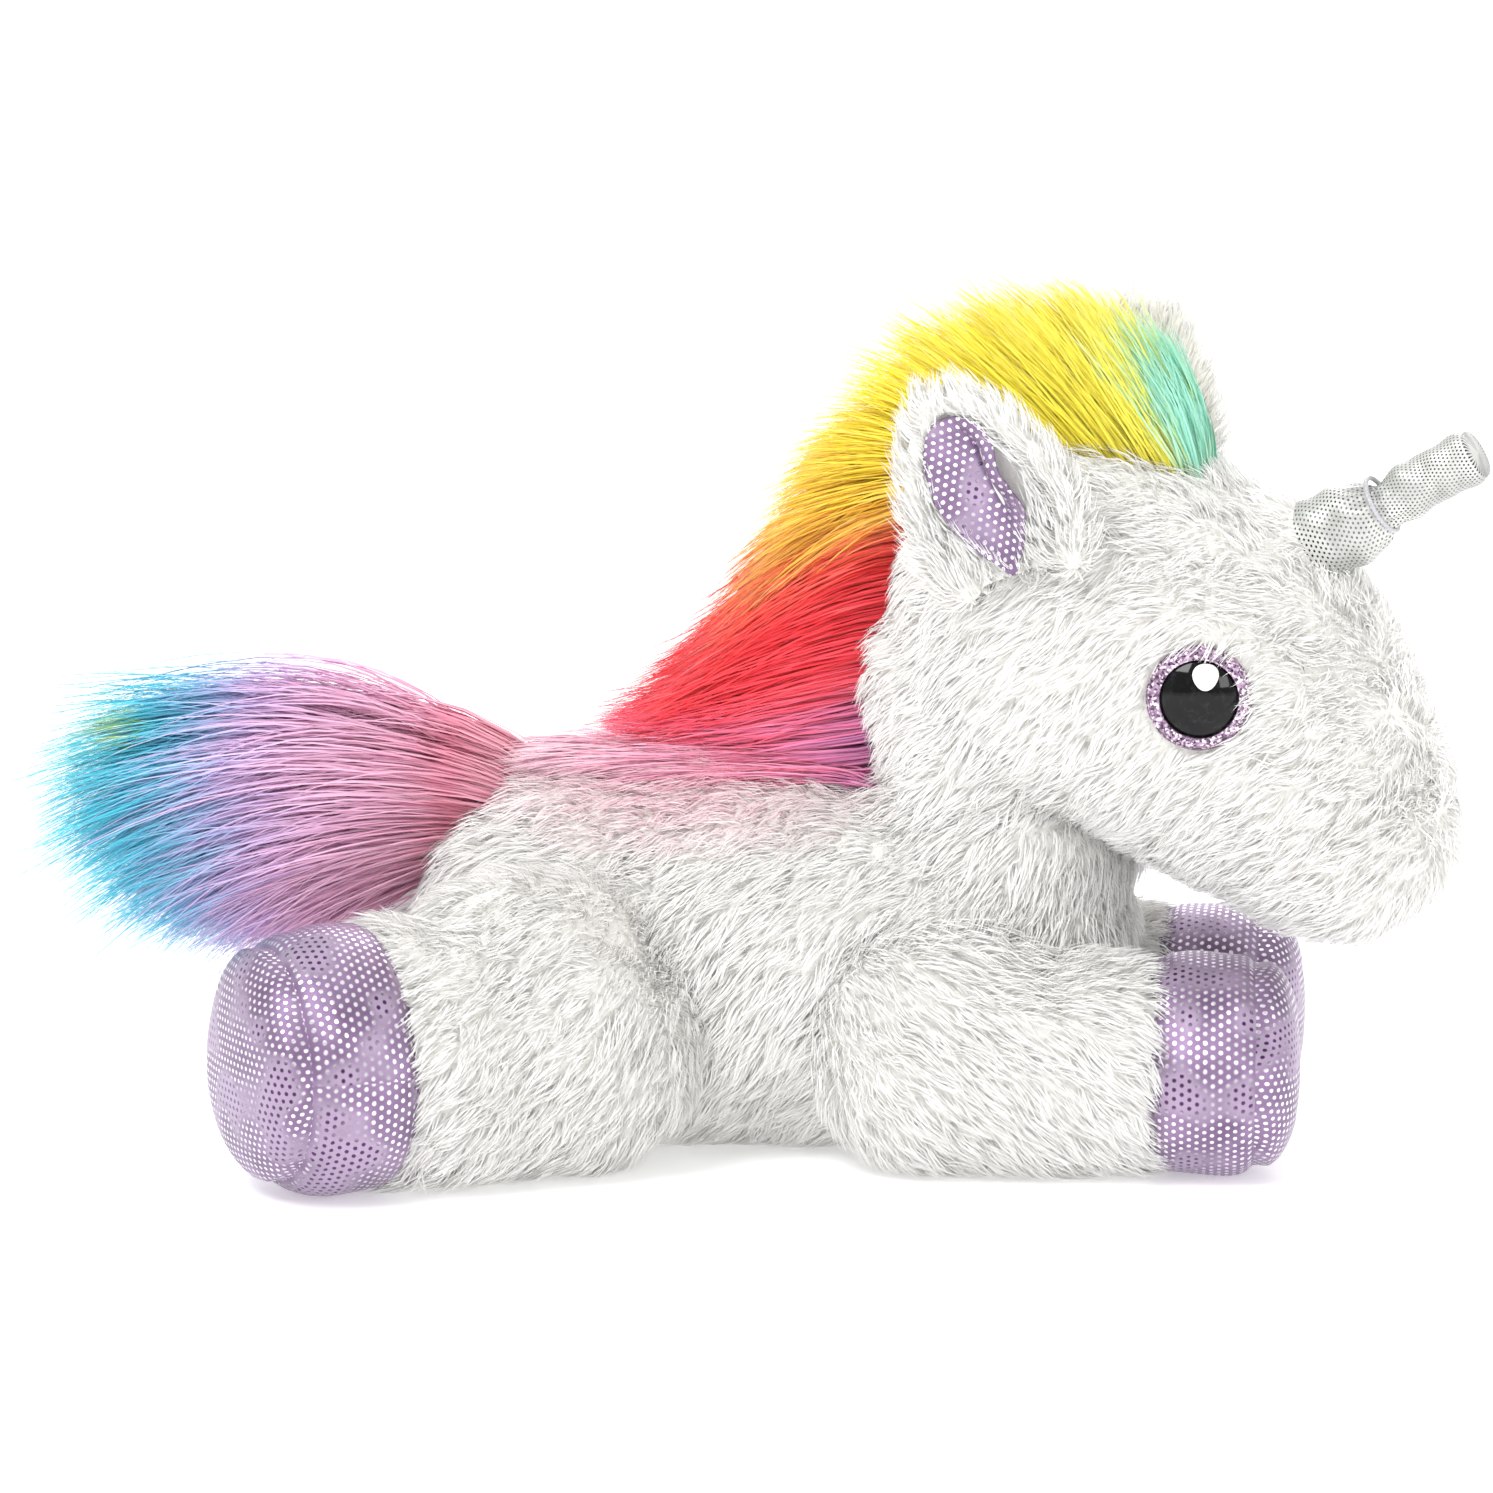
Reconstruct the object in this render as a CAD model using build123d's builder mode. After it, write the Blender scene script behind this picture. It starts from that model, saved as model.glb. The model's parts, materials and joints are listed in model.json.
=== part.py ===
"""Plush unicorn lying on its belly, about 310 mm from tail to horn.

Frame: +X towards the nose, +Y to the toy's left, +Z up, millimetres. The origin is on the table,
under the middle of the belly. Every soft part is a simple closed form: a cover is a shell around
its filling, and each moving part turns on a ball of stuffing that sits in a matching hollow.
"""

import os
from math import cos, radians, sin

from build123d import *

# --- driving dimensions -------------------------------------------------------------------------
FABRIC = 2.0  # backing and pile of a sewn cover
FOIL = 1.2  # foil fabric of hooves, ear linings and horn
SLACK = 0.3  # between a cover and what it holds
SWING_GAP = 1.3  # between a moving part and the part it turns in
HOLLOW_STEP = 0.3  # how much narrower a hollow's bore is than its ball
LIMB_ROOM = 90.0  # length of the room a swinging limb needs
NECK_ROOM = 60.0
NECK_LEAN = 17.0  # widest lean of the neck from upright
THREAD_GAP = 0.1  # between two panels that are sewn edge to edge
LEAST_RADIUS = 0.6  # the smallest half axis of any oval section

# Torso: stations along X as (x, half width, half height, height of centre)
TORSO_SECTIONS = [
    (-57, 8, 10, 44),
    (-52, 21, 23, 42.5),
    (-36, 33, 36, 40.5),
    (-8, 37, 40.5, 39.8),
    (24, 38, 40.5, 39.8),
    (52, 37, 38, 39),
    (74, 30, 32, 39),
    (86, 17, 18, 40),
    (89, 6, 7, 40),
]
POUCH_SIZE = (17, 22, 12)  # half sizes of the pellet pouch in the belly
POUCH_CENTRE = (12, 0, 17)
POUCH_CLOTH = 0.8

# Neck and head
NECK_PIVOT = (62, 0, 66)
NECK_BALL = 26.0
NECK_WAD = 17.0
HEAD_YAW = 14  # the head looks a little to the toy's right
HEAD_ROLL = 6  # and leans that way
HEAD_PITCH = 36  # the muzzle points this far below level
HEAD_AXIS_FOOT = (24, 0, 46.5)  # where the head's long axis starts, in the neck's frame
# Head: stations along its long axis as (distance, half height, half width, centre offset upwards)
HEAD_SECTIONS = [
    (-43, 8, 7, 0),
    (-38, 20, 18, 0),
    (-20, 34, 31, 0),
    (2, 39.5, 35.5, 1),
    (24, 38.5, 35, 3),
    (46, 34, 30, 3),
    (66, 26.5, 25, 0),
    (80, 17.5, 18.5, -2),
    (87, 7, 8, -3),
]

EYE_FROM = (43, 0, 39.5)  # in the neck's frame; the eye sits where EYE_AIM leaves the head
EYE_AIM = (0.33, 0.94, 0.0)
EYE_RING_R = 10.7
PUPIL_R = 7.9
PUPIL_HEIGHT = 3.6
EYE_POST_R = 2.0
EYE_POST_LENGTH = 11.0
WASHER_R = 6.5
WASHER_DEPTH = 3.2
WASHER_THICKNESS = 1.0
RING_HEIGHT = 1.8
RING_CROWN = 0.9  # height of the ring's face half way across, as a share of its height
DOME_EDGE = 1.2  # height of the pupil's edge
DOME_SHOULDER = (0.62, 0.78)  # point on the pupil's dome, as shares of its radius and height

# Ears: stations along the ear as (distance, half width, half thickness)
EAR_SECTIONS = [
    (0, 12, 4),
    (12, 17, 4.6),
    (25, 13.5, 4.2),
    (36, 6, 3),
    (40, 1.5, 1.2),
]
EAR_FROM = (19, 0, 50)  # in the neck's frame; the ear sits where EAR_AIM leaves the head
EAR_AIM = (0.0, 0.93, 0.36)
EAR_GAP = 4.0  # between the head and the ear's foot
EAR_LEAN = {"right": -20, "left": 7}  # degrees forwards
EAR_SPREAD = 0.16  # how far an ear leans outwards for each unit up
EAR_BACK_FACE = 0.6  # where the fur back ends and the lining starts, across the ear
LINING_MARGIN = 4.0
LINING_RISE = 3.0
LINING_SHRINK = 0.84
LINING_THICKNESS = 1.0

HORN_AIM_FROM = (34, 0, 40)  # in the neck's frame; the horn sits where HORN_AIM leaves the head
HORN_AIM = (0.82, 0.0, 0.57)
HORN_HEADING = (0.87, 0.0, 0.50)
HORN_ROOT_R = 8.4
HORN_PINCH = 17.0  # distance of the thread from the root
HORN_PINCH_R = 5.2
HORN_LENGTH = 40.0
# Horn: (distance, radius) from its root
HORN_PROFILE = [
    (0, HORN_ROOT_R),
    (10, 7.8),
    (15, 6.2),
    (HORN_PINCH, HORN_PINCH_R),
    (20, 5.4),
    (31, 4.8),
]
THREAD_R = 0.5

# Legs: a ball at the pivot, a shank, and a hoof whose sole is slightly domed. Each profile is a
# list of (distance, radius) from the pivot, and each heading is the left leg's.
FRONT_PIVOT = (50, 30, 23)
FRONT_REACH = 77.0
FRONT_HEADING = -2.0  # degrees outwards from straight ahead
FRONT_PROFILE = [(0, 22.5), (20, 21.3), (42, 20.2), (58, 22.0), (70, 19.0)]
FRONT_HOOF_START = 49.0
REAR_PIVOT = (-24, 37, 27.5)
REAR_REACH = 74.0
REAR_HEADING = 180 - 31.0
REAR_PROFILE = [(0, 27.0), (18, 26.0), (38, 24.8), (52, 26.5), (66, 22.0)]
REAR_HOOF_START = 45.0
SOLE_DEPTH = 9.0  # how much of the hoof's end is the sole panel
FRONT_SWING = (0, 25)  # degrees outwards
REAR_SWING = (-8, 20)

# Tail and mane: solids that hold the room of the long pile
TAIL_PIVOT = (-59, 0, 72)
TAIL_ROOT_R = 6.0
TAIL_BACKING_LENGTH = 22.0
# Tail: stations as (x, half height, half width, height of centre)
TAIL_SECTIONS = [
    (-64, 11, 10, 71),
    (-76, 22, 17, 71),
    (-96, 29, 20, 72),
    (-118, 28, 20, 72),
    (-138, 19, 14, 68),
    (-148, 8, 7, 64),
]
FORELOCK_PATH = [(40, 82), (22, 92), (2, 98), (-14, 97)]  # (x, z) in the neck's frame
FORELOCK_SIZE = (13, 9)  # half width and half depth of the lock
CREST_PATH = [(-25, 93), (-37, 73), (-42, 52), (-44, 34)]
CREST_SIZE = (14, 13)
LOCK_TAPER = 0.5  # size of a lock's ends beside its middle
WITHERS_SECTIONS = [(-34, 3, 6), (-24, 7, 10), (-8, 8, 11), (2, 4, 6)]  # x, half height, half width
WITHERS_HEIGHT = 81


# --- frames -------------------------------------------------------------------------------------
def turned_plane(origin, heading):
    """Plane at origin whose z axis is level and points along a heading, in degrees from +X."""
    ahead = (cos(radians(heading)), sin(radians(heading)), 0)
    side = (-sin(radians(heading)), cos(radians(heading)), 0)
    return Plane(origin=origin, x_dir=side, z_dir=ahead)


def on_side(point, side):
    """The point as it is on the left with side 1, or mirrored to the right with side -1."""
    return (point[0], side * point[1], point[2])


NECK = Plane(Location(NECK_PIVOT, (0, 0, -HEAD_YAW)) * Location((0, 0, 0), (HEAD_ROLL, 0, 0)))


def head_plane(place, outward, across=(0, 0, 1)):
    """Plane placed in the neck's frame, its z axis along outward, its x axis near across."""
    at = NECK.from_local_coords(place)
    toward = NECK.from_local_coords(outward) - NECK.origin
    side = NECK.from_local_coords(across) - NECK.origin
    side = side - toward.normalized() * side.dot(toward.normalized())
    return Plane(origin=at, x_dir=side, z_dir=toward)


# --- forms --------------------------------------------------------------------------------------
def profile_plane(plane):
    """Plane that holds a turned body's profile: x outwards, y along the body's axis."""
    return Plane(origin=plane.origin, x_dir=plane.x_dir, z_dir=-plane.y_dir)


def turned_form(plane, profile, reach, inset=0.0):
    """Body turned about plane's z axis: a round root, then the profile, then a domed end."""
    root = profile[0][1] - inset
    rim = [(radius - inset, distance) for distance, radius in profile]
    with BuildPart() as form:
        with BuildSketch(profile_plane(plane)):
            with BuildLine():
                bottom = CenterArc((0, 0), root, -90, 90)
                edge = Spline(rim + [(0, reach - inset)], tangents=[(0, 1), (-1, 0)])
                Line(edge @ 1, bottom @ 0)
            make_face()
        revolve(axis=Axis(plane.origin, plane.z_dir))
    return form.part


def capsule(plane, radius, length):
    """Ball at plane's origin that runs on as a round bar along plane's z axis."""
    with BuildPart() as form:
        with BuildSketch(profile_plane(plane)):
            with BuildLine():
                bottom = CenterArc((0, 0), radius, -90, 90)
                Polyline(bottom @ 1, (radius, length), (0, length), bottom @ 0)
            make_face()
        revolve(axis=Axis(plane.origin, plane.z_dir))
    return form.part


def oval_form(planes, sizes, inset=0.0):
    """Loft through ellipses, one per plane; the first and last move inwards by the inset."""
    with BuildPart() as form:
        last = len(planes) - 1
        for number, (plane, (across, along, shift)) in enumerate(zip(planes, sizes)):
            end = inset if number == 0 else -inset if number == last else 0.0
            with BuildSketch(plane.offset(end)):
                with Locations((shift, 0)):
                    Ellipse(max(across - inset, LEAST_RADIUS), max(along - inset, LEAST_RADIUS))
        loft()
    return form.part


def torso_oval(inset=0.0):
    planes = [Plane(origin=(x, 0, centre), x_dir=(0, 0, 1), z_dir=(1, 0, 0))
              for x, _, _, centre in TORSO_SECTIONS]
    sizes = [(half_height, half_width, 0) for _, half_width, half_height, _ in TORSO_SECTIONS]
    return oval_form(planes, sizes, inset)


def torso_form(inset=0.0):
    """The torso with the flat belly it lies on."""
    with BuildPart() as form:
        add(torso_oval(inset))
        split(bisect_by=Plane.XY.offset(inset), keep=Keep.TOP)
    return form.part


def head_form(inset=0.0):
    """Egg-shaped head with its neck, whose round root is the ball at the neck pivot."""
    pitch = radians(HEAD_PITCH)
    along = (cos(pitch), 0, -sin(pitch))
    upward = (sin(pitch), 0, cos(pitch))
    foot_x, _, foot_z = HEAD_AXIS_FOOT
    planes = []
    for distance, _, _, lift in HEAD_SECTIONS:
        x = foot_x + along[0] * distance + upward[0] * lift
        z = foot_z + along[2] * distance + upward[2] * lift
        planes.append(head_plane((x, 0, z), along, upward))
    sizes = [(half_height, half_width, 0) for _, half_height, half_width, _ in HEAD_SECTIONS]
    with BuildPart() as form:
        add(oval_form(planes, sizes, inset))
        add(capsule(NECK, NECK_BALL - inset, HEAD_AXIS_FOOT[2]))
    return form.part


def ear_form(plane, inset=0.0, length=1.0):
    """Leaf-shaped ear standing on plane, its length scaled."""
    planes = [plane.offset(distance * length) for distance, _, _ in EAR_SECTIONS]
    sizes = [(max(half_width - inset, LEAST_RADIUS), half_thickness, 0)
             for _, half_width, half_thickness in EAR_SECTIONS]
    return oval_form(planes, sizes)


def swing_hollow(pivot, headings, radius):
    """Room for a limb of that radius, round its pivot and along each heading."""
    with BuildPart() as form:
        with Locations(Location(pivot)):
            Sphere(radius)
        for heading in headings:
            with BuildSketch(turned_plane(pivot, heading)):
                Circle(radius - HOLLOW_STEP)
            extrude(amount=LIMB_ROOM)
    return form.part


def neck_hollow(radius):
    """Room for the neck ball and for the neck above it at every nod and turn."""
    with BuildPart() as form:
        with Locations(Location(NECK_PIVOT)):
            Sphere(radius)
        with BuildSketch(Plane(origin=NECK_PIVOT)):
            Circle(radius - HOLLOW_STEP)
        extrude(amount=NECK_ROOM, taper=-NECK_LEAN)
    return form.part


def torso_hollows(grow):
    """Every hollow in the torso, widened by grow."""
    hollows = [neck_hollow(NECK_BALL + SWING_GAP + grow)]
    for side in (1, -1):
        for pivot, heading, swing, profile in LEG_HOLLOWS:
            outward = 1 if heading < 90 else -1
            turns = (swing[0], (swing[0] + swing[1]) / 2, swing[1])
            headings = [side * (heading + outward * turn) for turn in turns]
            radius = profile[0][1] + SWING_GAP + grow
            hollows.append(swing_hollow(on_side(pivot, side), headings, radius))
    return hollows


def torso_body(inset=0.0):
    """The torso drawn in by inset, with its hollows widened by as much."""
    with BuildPart() as form:
        add(torso_form(inset))
        for hollow in torso_hollows(inset):
            add(hollow, mode=Mode.SUBTRACT)
    return form.part


def head_body(inset=0.0):
    """The head drawn in by inset, with room for the horn's root widened by as much."""
    with BuildPart() as form:
        add(head_form(inset))
        with Locations(Location(HORN.origin)):
            Sphere(HORN_ROOT_R + SWING_GAP + inset, mode=Mode.SUBTRACT)
    return form.part


def surface_plane(form, place, outward, across):
    """Plane where a line from place along outward leaves form, its z axis out of the surface."""
    start = NECK.from_local_coords(place)
    toward = (NECK.from_local_coords(outward) - NECK.origin).normalized()
    side = NECK.from_local_coords(across) - NECK.origin
    hits = form.find_intersection_points(Axis(start, toward))
    point, normal = max(hits, key=lambda hit: (hit[0] - start).dot(toward))
    return Plane(origin=point, x_dir=side - normal * side.dot(normal), z_dir=normal)


def ellipsoid(centre, half_sizes):
    """Ellipsoid with its axes along the frame's."""
    ball = scale(Sphere(1.0), by=tuple(half_sizes))
    return Location(centre) * ball


# --- where the pieces sit -----------------------------------------------------------------------
LEG_HOLLOWS = [
    (FRONT_PIVOT, FRONT_HEADING, FRONT_SWING, FRONT_PROFILE),
    (REAR_PIVOT, REAR_HEADING, REAR_SWING, REAR_PROFILE),
]
LEGS = [
    ("front", FRONT_PIVOT, FRONT_HEADING, FRONT_PROFILE, FRONT_REACH, FRONT_HOOF_START),
    ("rear", REAR_PIVOT, REAR_HEADING, REAR_PROFILE, REAR_REACH, REAR_HOOF_START),
]
SIDES = [("right", -1), ("left", 1)]

whole_head = head_form()
horn_seat = surface_plane(whole_head, HORN_AIM_FROM, HORN_AIM, (0, 1, 0))
HORN = head_plane(NECK.to_local_coords(horn_seat.origin), HORN_HEADING, (0, 1, 0))
os.makedirs("parts", exist_ok=True)


# --- torso --------------------------------------------------------------------------------------
with BuildPart() as torso_cover:
    add(torso_body())
    add(torso_body(FABRIC), mode=Mode.SUBTRACT)
torso_cover.part.label = "torso_cover"
export_step(torso_cover.part, "parts/torso_cover.step")

pouch_room = ellipsoid(POUCH_CENTRE, [size + SLACK for size in POUCH_SIZE])
with BuildPart() as torso_filling:
    add(torso_body(FABRIC + SLACK))
    add(pouch_room, mode=Mode.SUBTRACT)
torso_filling.part.label = "torso_filling"
export_step(torso_filling.part, "parts/torso_filling.step")

pouch_outside = ellipsoid(POUCH_CENTRE, POUCH_SIZE)
pouch_inside = ellipsoid(POUCH_CENTRE, [size - POUCH_CLOTH for size in POUCH_SIZE])
pellet_room = ellipsoid(POUCH_CENTRE, [size - POUCH_CLOTH - SLACK for size in POUCH_SIZE])
with BuildPart() as pellet_bag:
    add(pouch_outside)
    add(pouch_inside, mode=Mode.SUBTRACT)
pellet_bag.part.label = "pellet_bag"
export_step(pellet_bag.part, "parts/pellet_bag.step")

with BuildPart() as pellets:
    add(pellet_room)
pellets.part.label = "pellets"
export_step(pellets.part, "parts/pellets.step")


# --- neck and head ------------------------------------------------------------------------------
with BuildPart() as neck_filling:
    with Locations(Location(NECK_PIVOT)):
        Sphere(NECK_WAD)
neck_filling.part.label = "neck_filling"
export_step(neck_filling.part, "parts/neck_filling.step")

eye_planes = {}
for word, side in SIDES:
    seat = surface_plane(whole_head, on_side(EYE_FROM, side), on_side(EYE_AIM, side), (0, 0, 1))
    eye_planes[word] = seat.offset(THREAD_GAP)

with BuildPart() as head_cover:
    add(head_body())
    add(head_body(FABRIC), mode=Mode.SUBTRACT)
    for plane in eye_planes.values():
        with BuildSketch(plane):
            Circle(EYE_POST_R + THREAD_GAP)
        extrude(amount=-EYE_POST_LENGTH, mode=Mode.SUBTRACT)
head_cover.part.label = "head_cover"
export_step(head_cover.part, "parts/head_cover.step")

with BuildPart() as head_filling:
    add(head_body(FABRIC + SLACK))
    with Locations(Location(NECK_PIVOT)):
        Sphere(NECK_WAD + SWING_GAP, mode=Mode.SUBTRACT)
    for plane in eye_planes.values():
        with BuildSketch(plane):
            Circle(WASHER_R + SLACK)
        extrude(amount=-(EYE_POST_LENGTH + SLACK), mode=Mode.SUBTRACT)
head_filling.part.label = "head_filling"
export_step(head_filling.part, "parts/head_filling.step")


# --- eyes ---------------------------------------------------------------------------------------
for word, plane in eye_planes.items():
    with BuildPart() as eye_ring:
        with BuildSketch(profile_plane(plane)):
            with BuildLine():
                inner = PUPIL_R + THREAD_GAP
                Polyline((EYE_RING_R, 0), (inner, 0), (inner, RING_HEIGHT))
                ThreePointArc(
                    (inner, RING_HEIGHT),
                    ((PUPIL_R + EYE_RING_R) / 2, RING_HEIGHT * RING_CROWN),
                    (EYE_RING_R, 0),
                )
            make_face()
        revolve(axis=Axis(plane.origin, plane.z_dir))
    eye_ring.part.label = f"eye_ring_{word}"
    export_step(eye_ring.part, f"parts/eye_ring_{word}.step")

    with BuildPart() as eye_dome:
        with BuildSketch(profile_plane(plane)):
            with BuildLine():
                shoulder = (PUPIL_R * DOME_SHOULDER[0], PUPIL_HEIGHT * DOME_SHOULDER[1])
                dome = ThreePointArc((0, PUPIL_HEIGHT), shoulder, (PUPIL_R, DOME_EDGE))
                Polyline(dome @ 1, (PUPIL_R, 0), (EYE_POST_R, 0), (EYE_POST_R, -EYE_POST_LENGTH),
                         (0, -EYE_POST_LENGTH), dome @ 0)
            make_face()
        revolve(axis=Axis(plane.origin, plane.z_dir))
    eye_dome.part.label = f"eye_dome_{word}"
    export_step(eye_dome.part, f"parts/eye_dome_{word}.step")

    with BuildPart() as eye_washer:
        with BuildSketch(plane.offset(-WASHER_DEPTH)):
            Circle(WASHER_R)
            Circle(EYE_POST_R + THREAD_GAP, mode=Mode.SUBTRACT)
        extrude(amount=-WASHER_THICKNESS)
    eye_washer.part.label = f"eye_washer_{word}"
    export_step(eye_washer.part, f"parts/eye_washer_{word}.step")


# --- ears ---------------------------------------------------------------------------------------
for word, side in SIDES:
    seat = surface_plane(whole_head, on_side(EAR_FROM, side), on_side(EAR_AIM, side), (1, 0, 0))
    foot = NECK.to_local_coords(seat.origin + seat.z_dir * EAR_GAP)
    lean = radians(EAR_LEAN[word])
    upright = (sin(lean), side * EAR_SPREAD, cos(lean))
    base = head_plane(foot, upright, (side * cos(lean), 0, -side * sin(lean)))
    leaf_gap = LINING_THICKNESS + THREAD_GAP
    front = Plane(origin=base.origin, x_dir=base.x_dir, z_dir=base.y_dir)

    with BuildPart() as ear_back:
        add(ear_form(base))
        split(bisect_by=front.offset(EAR_BACK_FACE), keep=Keep.BOTTOM)
    ear_back.part.label = f"ear_back_{word}"
    export_step(ear_back.part, f"parts/ear_back_{word}.step")

    with BuildPart() as ear_lining:
        add(ear_form(base.offset(LINING_RISE), LINING_MARGIN, LINING_SHRINK))
        split(bisect_by=front.offset(EAR_BACK_FACE + THREAD_GAP), keep=Keep.TOP)
        split(bisect_by=front.offset(EAR_BACK_FACE + leaf_gap), keep=Keep.BOTTOM)
    ear_lining.part.label = f"ear_lining_{word}"
    export_step(ear_lining.part, f"parts/ear_lining_{word}.step")


# --- horn ---------------------------------------------------------------------------------------
with BuildPart() as horn_cover:
    add(turned_form(HORN, HORN_PROFILE, HORN_LENGTH))
    add(turned_form(HORN, HORN_PROFILE, HORN_LENGTH, FOIL), mode=Mode.SUBTRACT)
horn_cover.part.label = "horn_cover"
export_step(horn_cover.part, "parts/horn_cover.step")

with BuildPart() as horn_filling:
    add(turned_form(HORN, HORN_PROFILE, HORN_LENGTH, FOIL + SLACK))
horn_filling.part.label = "horn_filling"
export_step(horn_filling.part, "parts/horn_filling.step")

with BuildPart() as horn_thread:
    with Locations(HORN.offset(HORN_PINCH).location):
        Torus(HORN_PINCH_R + THREAD_R + SLACK, THREAD_R)
horn_thread.part.label = "horn_thread"
export_step(horn_thread.part, "parts/horn_thread.step")


# --- legs and hooves ----------------------------------------------------------------------------
for limb, pivot, heading, profile, reach, hoof_start in LEGS:
    for word, side in SIDES:
        axis_plane = turned_plane(on_side(pivot, side), side * heading)
        outside = turned_form(axis_plane, profile, reach)
        fur_inside = turned_form(axis_plane, profile, reach, FABRIC)
        foil_inside = turned_form(axis_plane, profile, reach, FOIL)
        sole_start = reach - SOLE_DEPTH

        with BuildPart() as leg_cover:
            add(outside)
            add(fur_inside, mode=Mode.SUBTRACT)
            split(bisect_by=axis_plane.offset(hoof_start - THREAD_GAP), keep=Keep.BOTTOM)
        leg_cover.part.label = f"{limb}_leg_cover_{word}"
        export_step(leg_cover.part, f"parts/{limb}_leg_cover_{word}.step")

        with BuildPart() as leg_filling:
            add(turned_form(axis_plane, profile, reach, FABRIC + SLACK))
        leg_filling.part.label = f"{limb}_leg_filling_{word}"
        export_step(leg_filling.part, f"parts/{limb}_leg_filling_{word}.step")

        with BuildPart() as hoof_band:
            add(outside)
            add(foil_inside, mode=Mode.SUBTRACT)
            split(bisect_by=axis_plane.offset(hoof_start), keep=Keep.TOP)
            split(bisect_by=axis_plane.offset(sole_start), keep=Keep.BOTTOM)
        hoof_band.part.label = f"{limb}_hoof_band_{word}"
        export_step(hoof_band.part, f"parts/{limb}_hoof_band_{word}.step")

        with BuildPart() as hoof_sole:
            add(outside)
            add(foil_inside, mode=Mode.SUBTRACT)
            split(bisect_by=axis_plane.offset(sole_start + THREAD_GAP), keep=Keep.TOP)
        hoof_sole.part.label = f"{limb}_hoof_sole_{word}"
        export_step(hoof_sole.part, f"parts/{limb}_hoof_sole_{word}.step")


# --- tail ---------------------------------------------------------------------------------------
with BuildPart() as tail_backing:
    add(capsule(turned_plane(TAIL_PIVOT, 180), TAIL_ROOT_R, TAIL_BACKING_LENGTH))
tail_backing.part.label = "tail_backing"
export_step(tail_backing.part, "parts/tail_backing.step")

tail_planes = [Plane(origin=(x, 0, centre), x_dir=(0, 0, 1), z_dir=(-1, 0, 0))
               for x, _, _, centre in TAIL_SECTIONS]
tail_sizes = [(half_height, half_width, 0) for _, half_height, half_width, _ in TAIL_SECTIONS]
with BuildPart() as tail_pile:
    add(oval_form(tail_planes, tail_sizes))
    add(capsule(turned_plane(TAIL_PIVOT, 180), TAIL_ROOT_R + SLACK, TAIL_BACKING_LENGTH + SLACK),
        mode=Mode.SUBTRACT)
tail_pile.part.label = "tail_pile"
export_step(tail_pile.part, "parts/tail_pile.step")


# --- mane ---------------------------------------------------------------------------------------
def hair_lock(path, half_width, half_depth):
    """Rounded lock of pile along path, a list of (x, z) in the neck's frame."""
    planes = []
    for number, (x, z) in enumerate(path):
        before = path[max(number - 1, 0)]
        after = path[min(number + 1, len(path) - 1)]
        along = (after[0] - before[0], 0, after[1] - before[1])
        planes.append(head_plane((x, 0, z), along, (0, 1, 0)))
    shares = [LOCK_TAPER] + [1] * (len(path) - 2) + [LOCK_TAPER]
    sizes = [(half_width * share, half_depth * share, 0) for share in shares]
    return oval_form(planes, sizes)


with BuildPart() as forelock_pile:
    add(hair_lock(FORELOCK_PATH, *FORELOCK_SIZE))
    add(whole_head, mode=Mode.SUBTRACT)
forelock_pile.part.label = "forelock_pile"
export_step(forelock_pile.part, "parts/forelock_pile.step")

with BuildPart() as crest_pile:
    add(hair_lock(CREST_PATH, *CREST_SIZE))
    add(head_form(-SLACK), mode=Mode.SUBTRACT)
crest_pile.part.label = "crest_pile"
export_step(crest_pile.part, "parts/crest_pile.step")

withers_planes = [Plane(origin=(x, 0, WITHERS_HEIGHT), x_dir=(0, 0, 1), z_dir=(1, 0, 0))
                  for x, _, _ in WITHERS_SECTIONS]
withers_sizes = [(half_height, half_width, 0) for _, half_height, half_width in WITHERS_SECTIONS]
with BuildPart() as withers_pile:
    add(oval_form(withers_planes, withers_sizes))
    add(torso_oval(-SLACK), mode=Mode.SUBTRACT)
withers_pile.part.label = "withers_pile"
export_step(withers_pile.part, "parts/withers_pile.step")
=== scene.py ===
"""The looks of the plush unicorn: fur skins, real strands of pile, foil hooves, horn and eyes.

Everything is in metres in the CAD model's own frame: +X to the nose, +Y to the toy's left, +Z up.
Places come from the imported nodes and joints; lengths typed here are in millimetres and go through MM.
"""

import json
import math

import bmesh
import bpy
import numpy as np
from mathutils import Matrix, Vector
from mathutils.bvhtree import BVHTree


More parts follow.
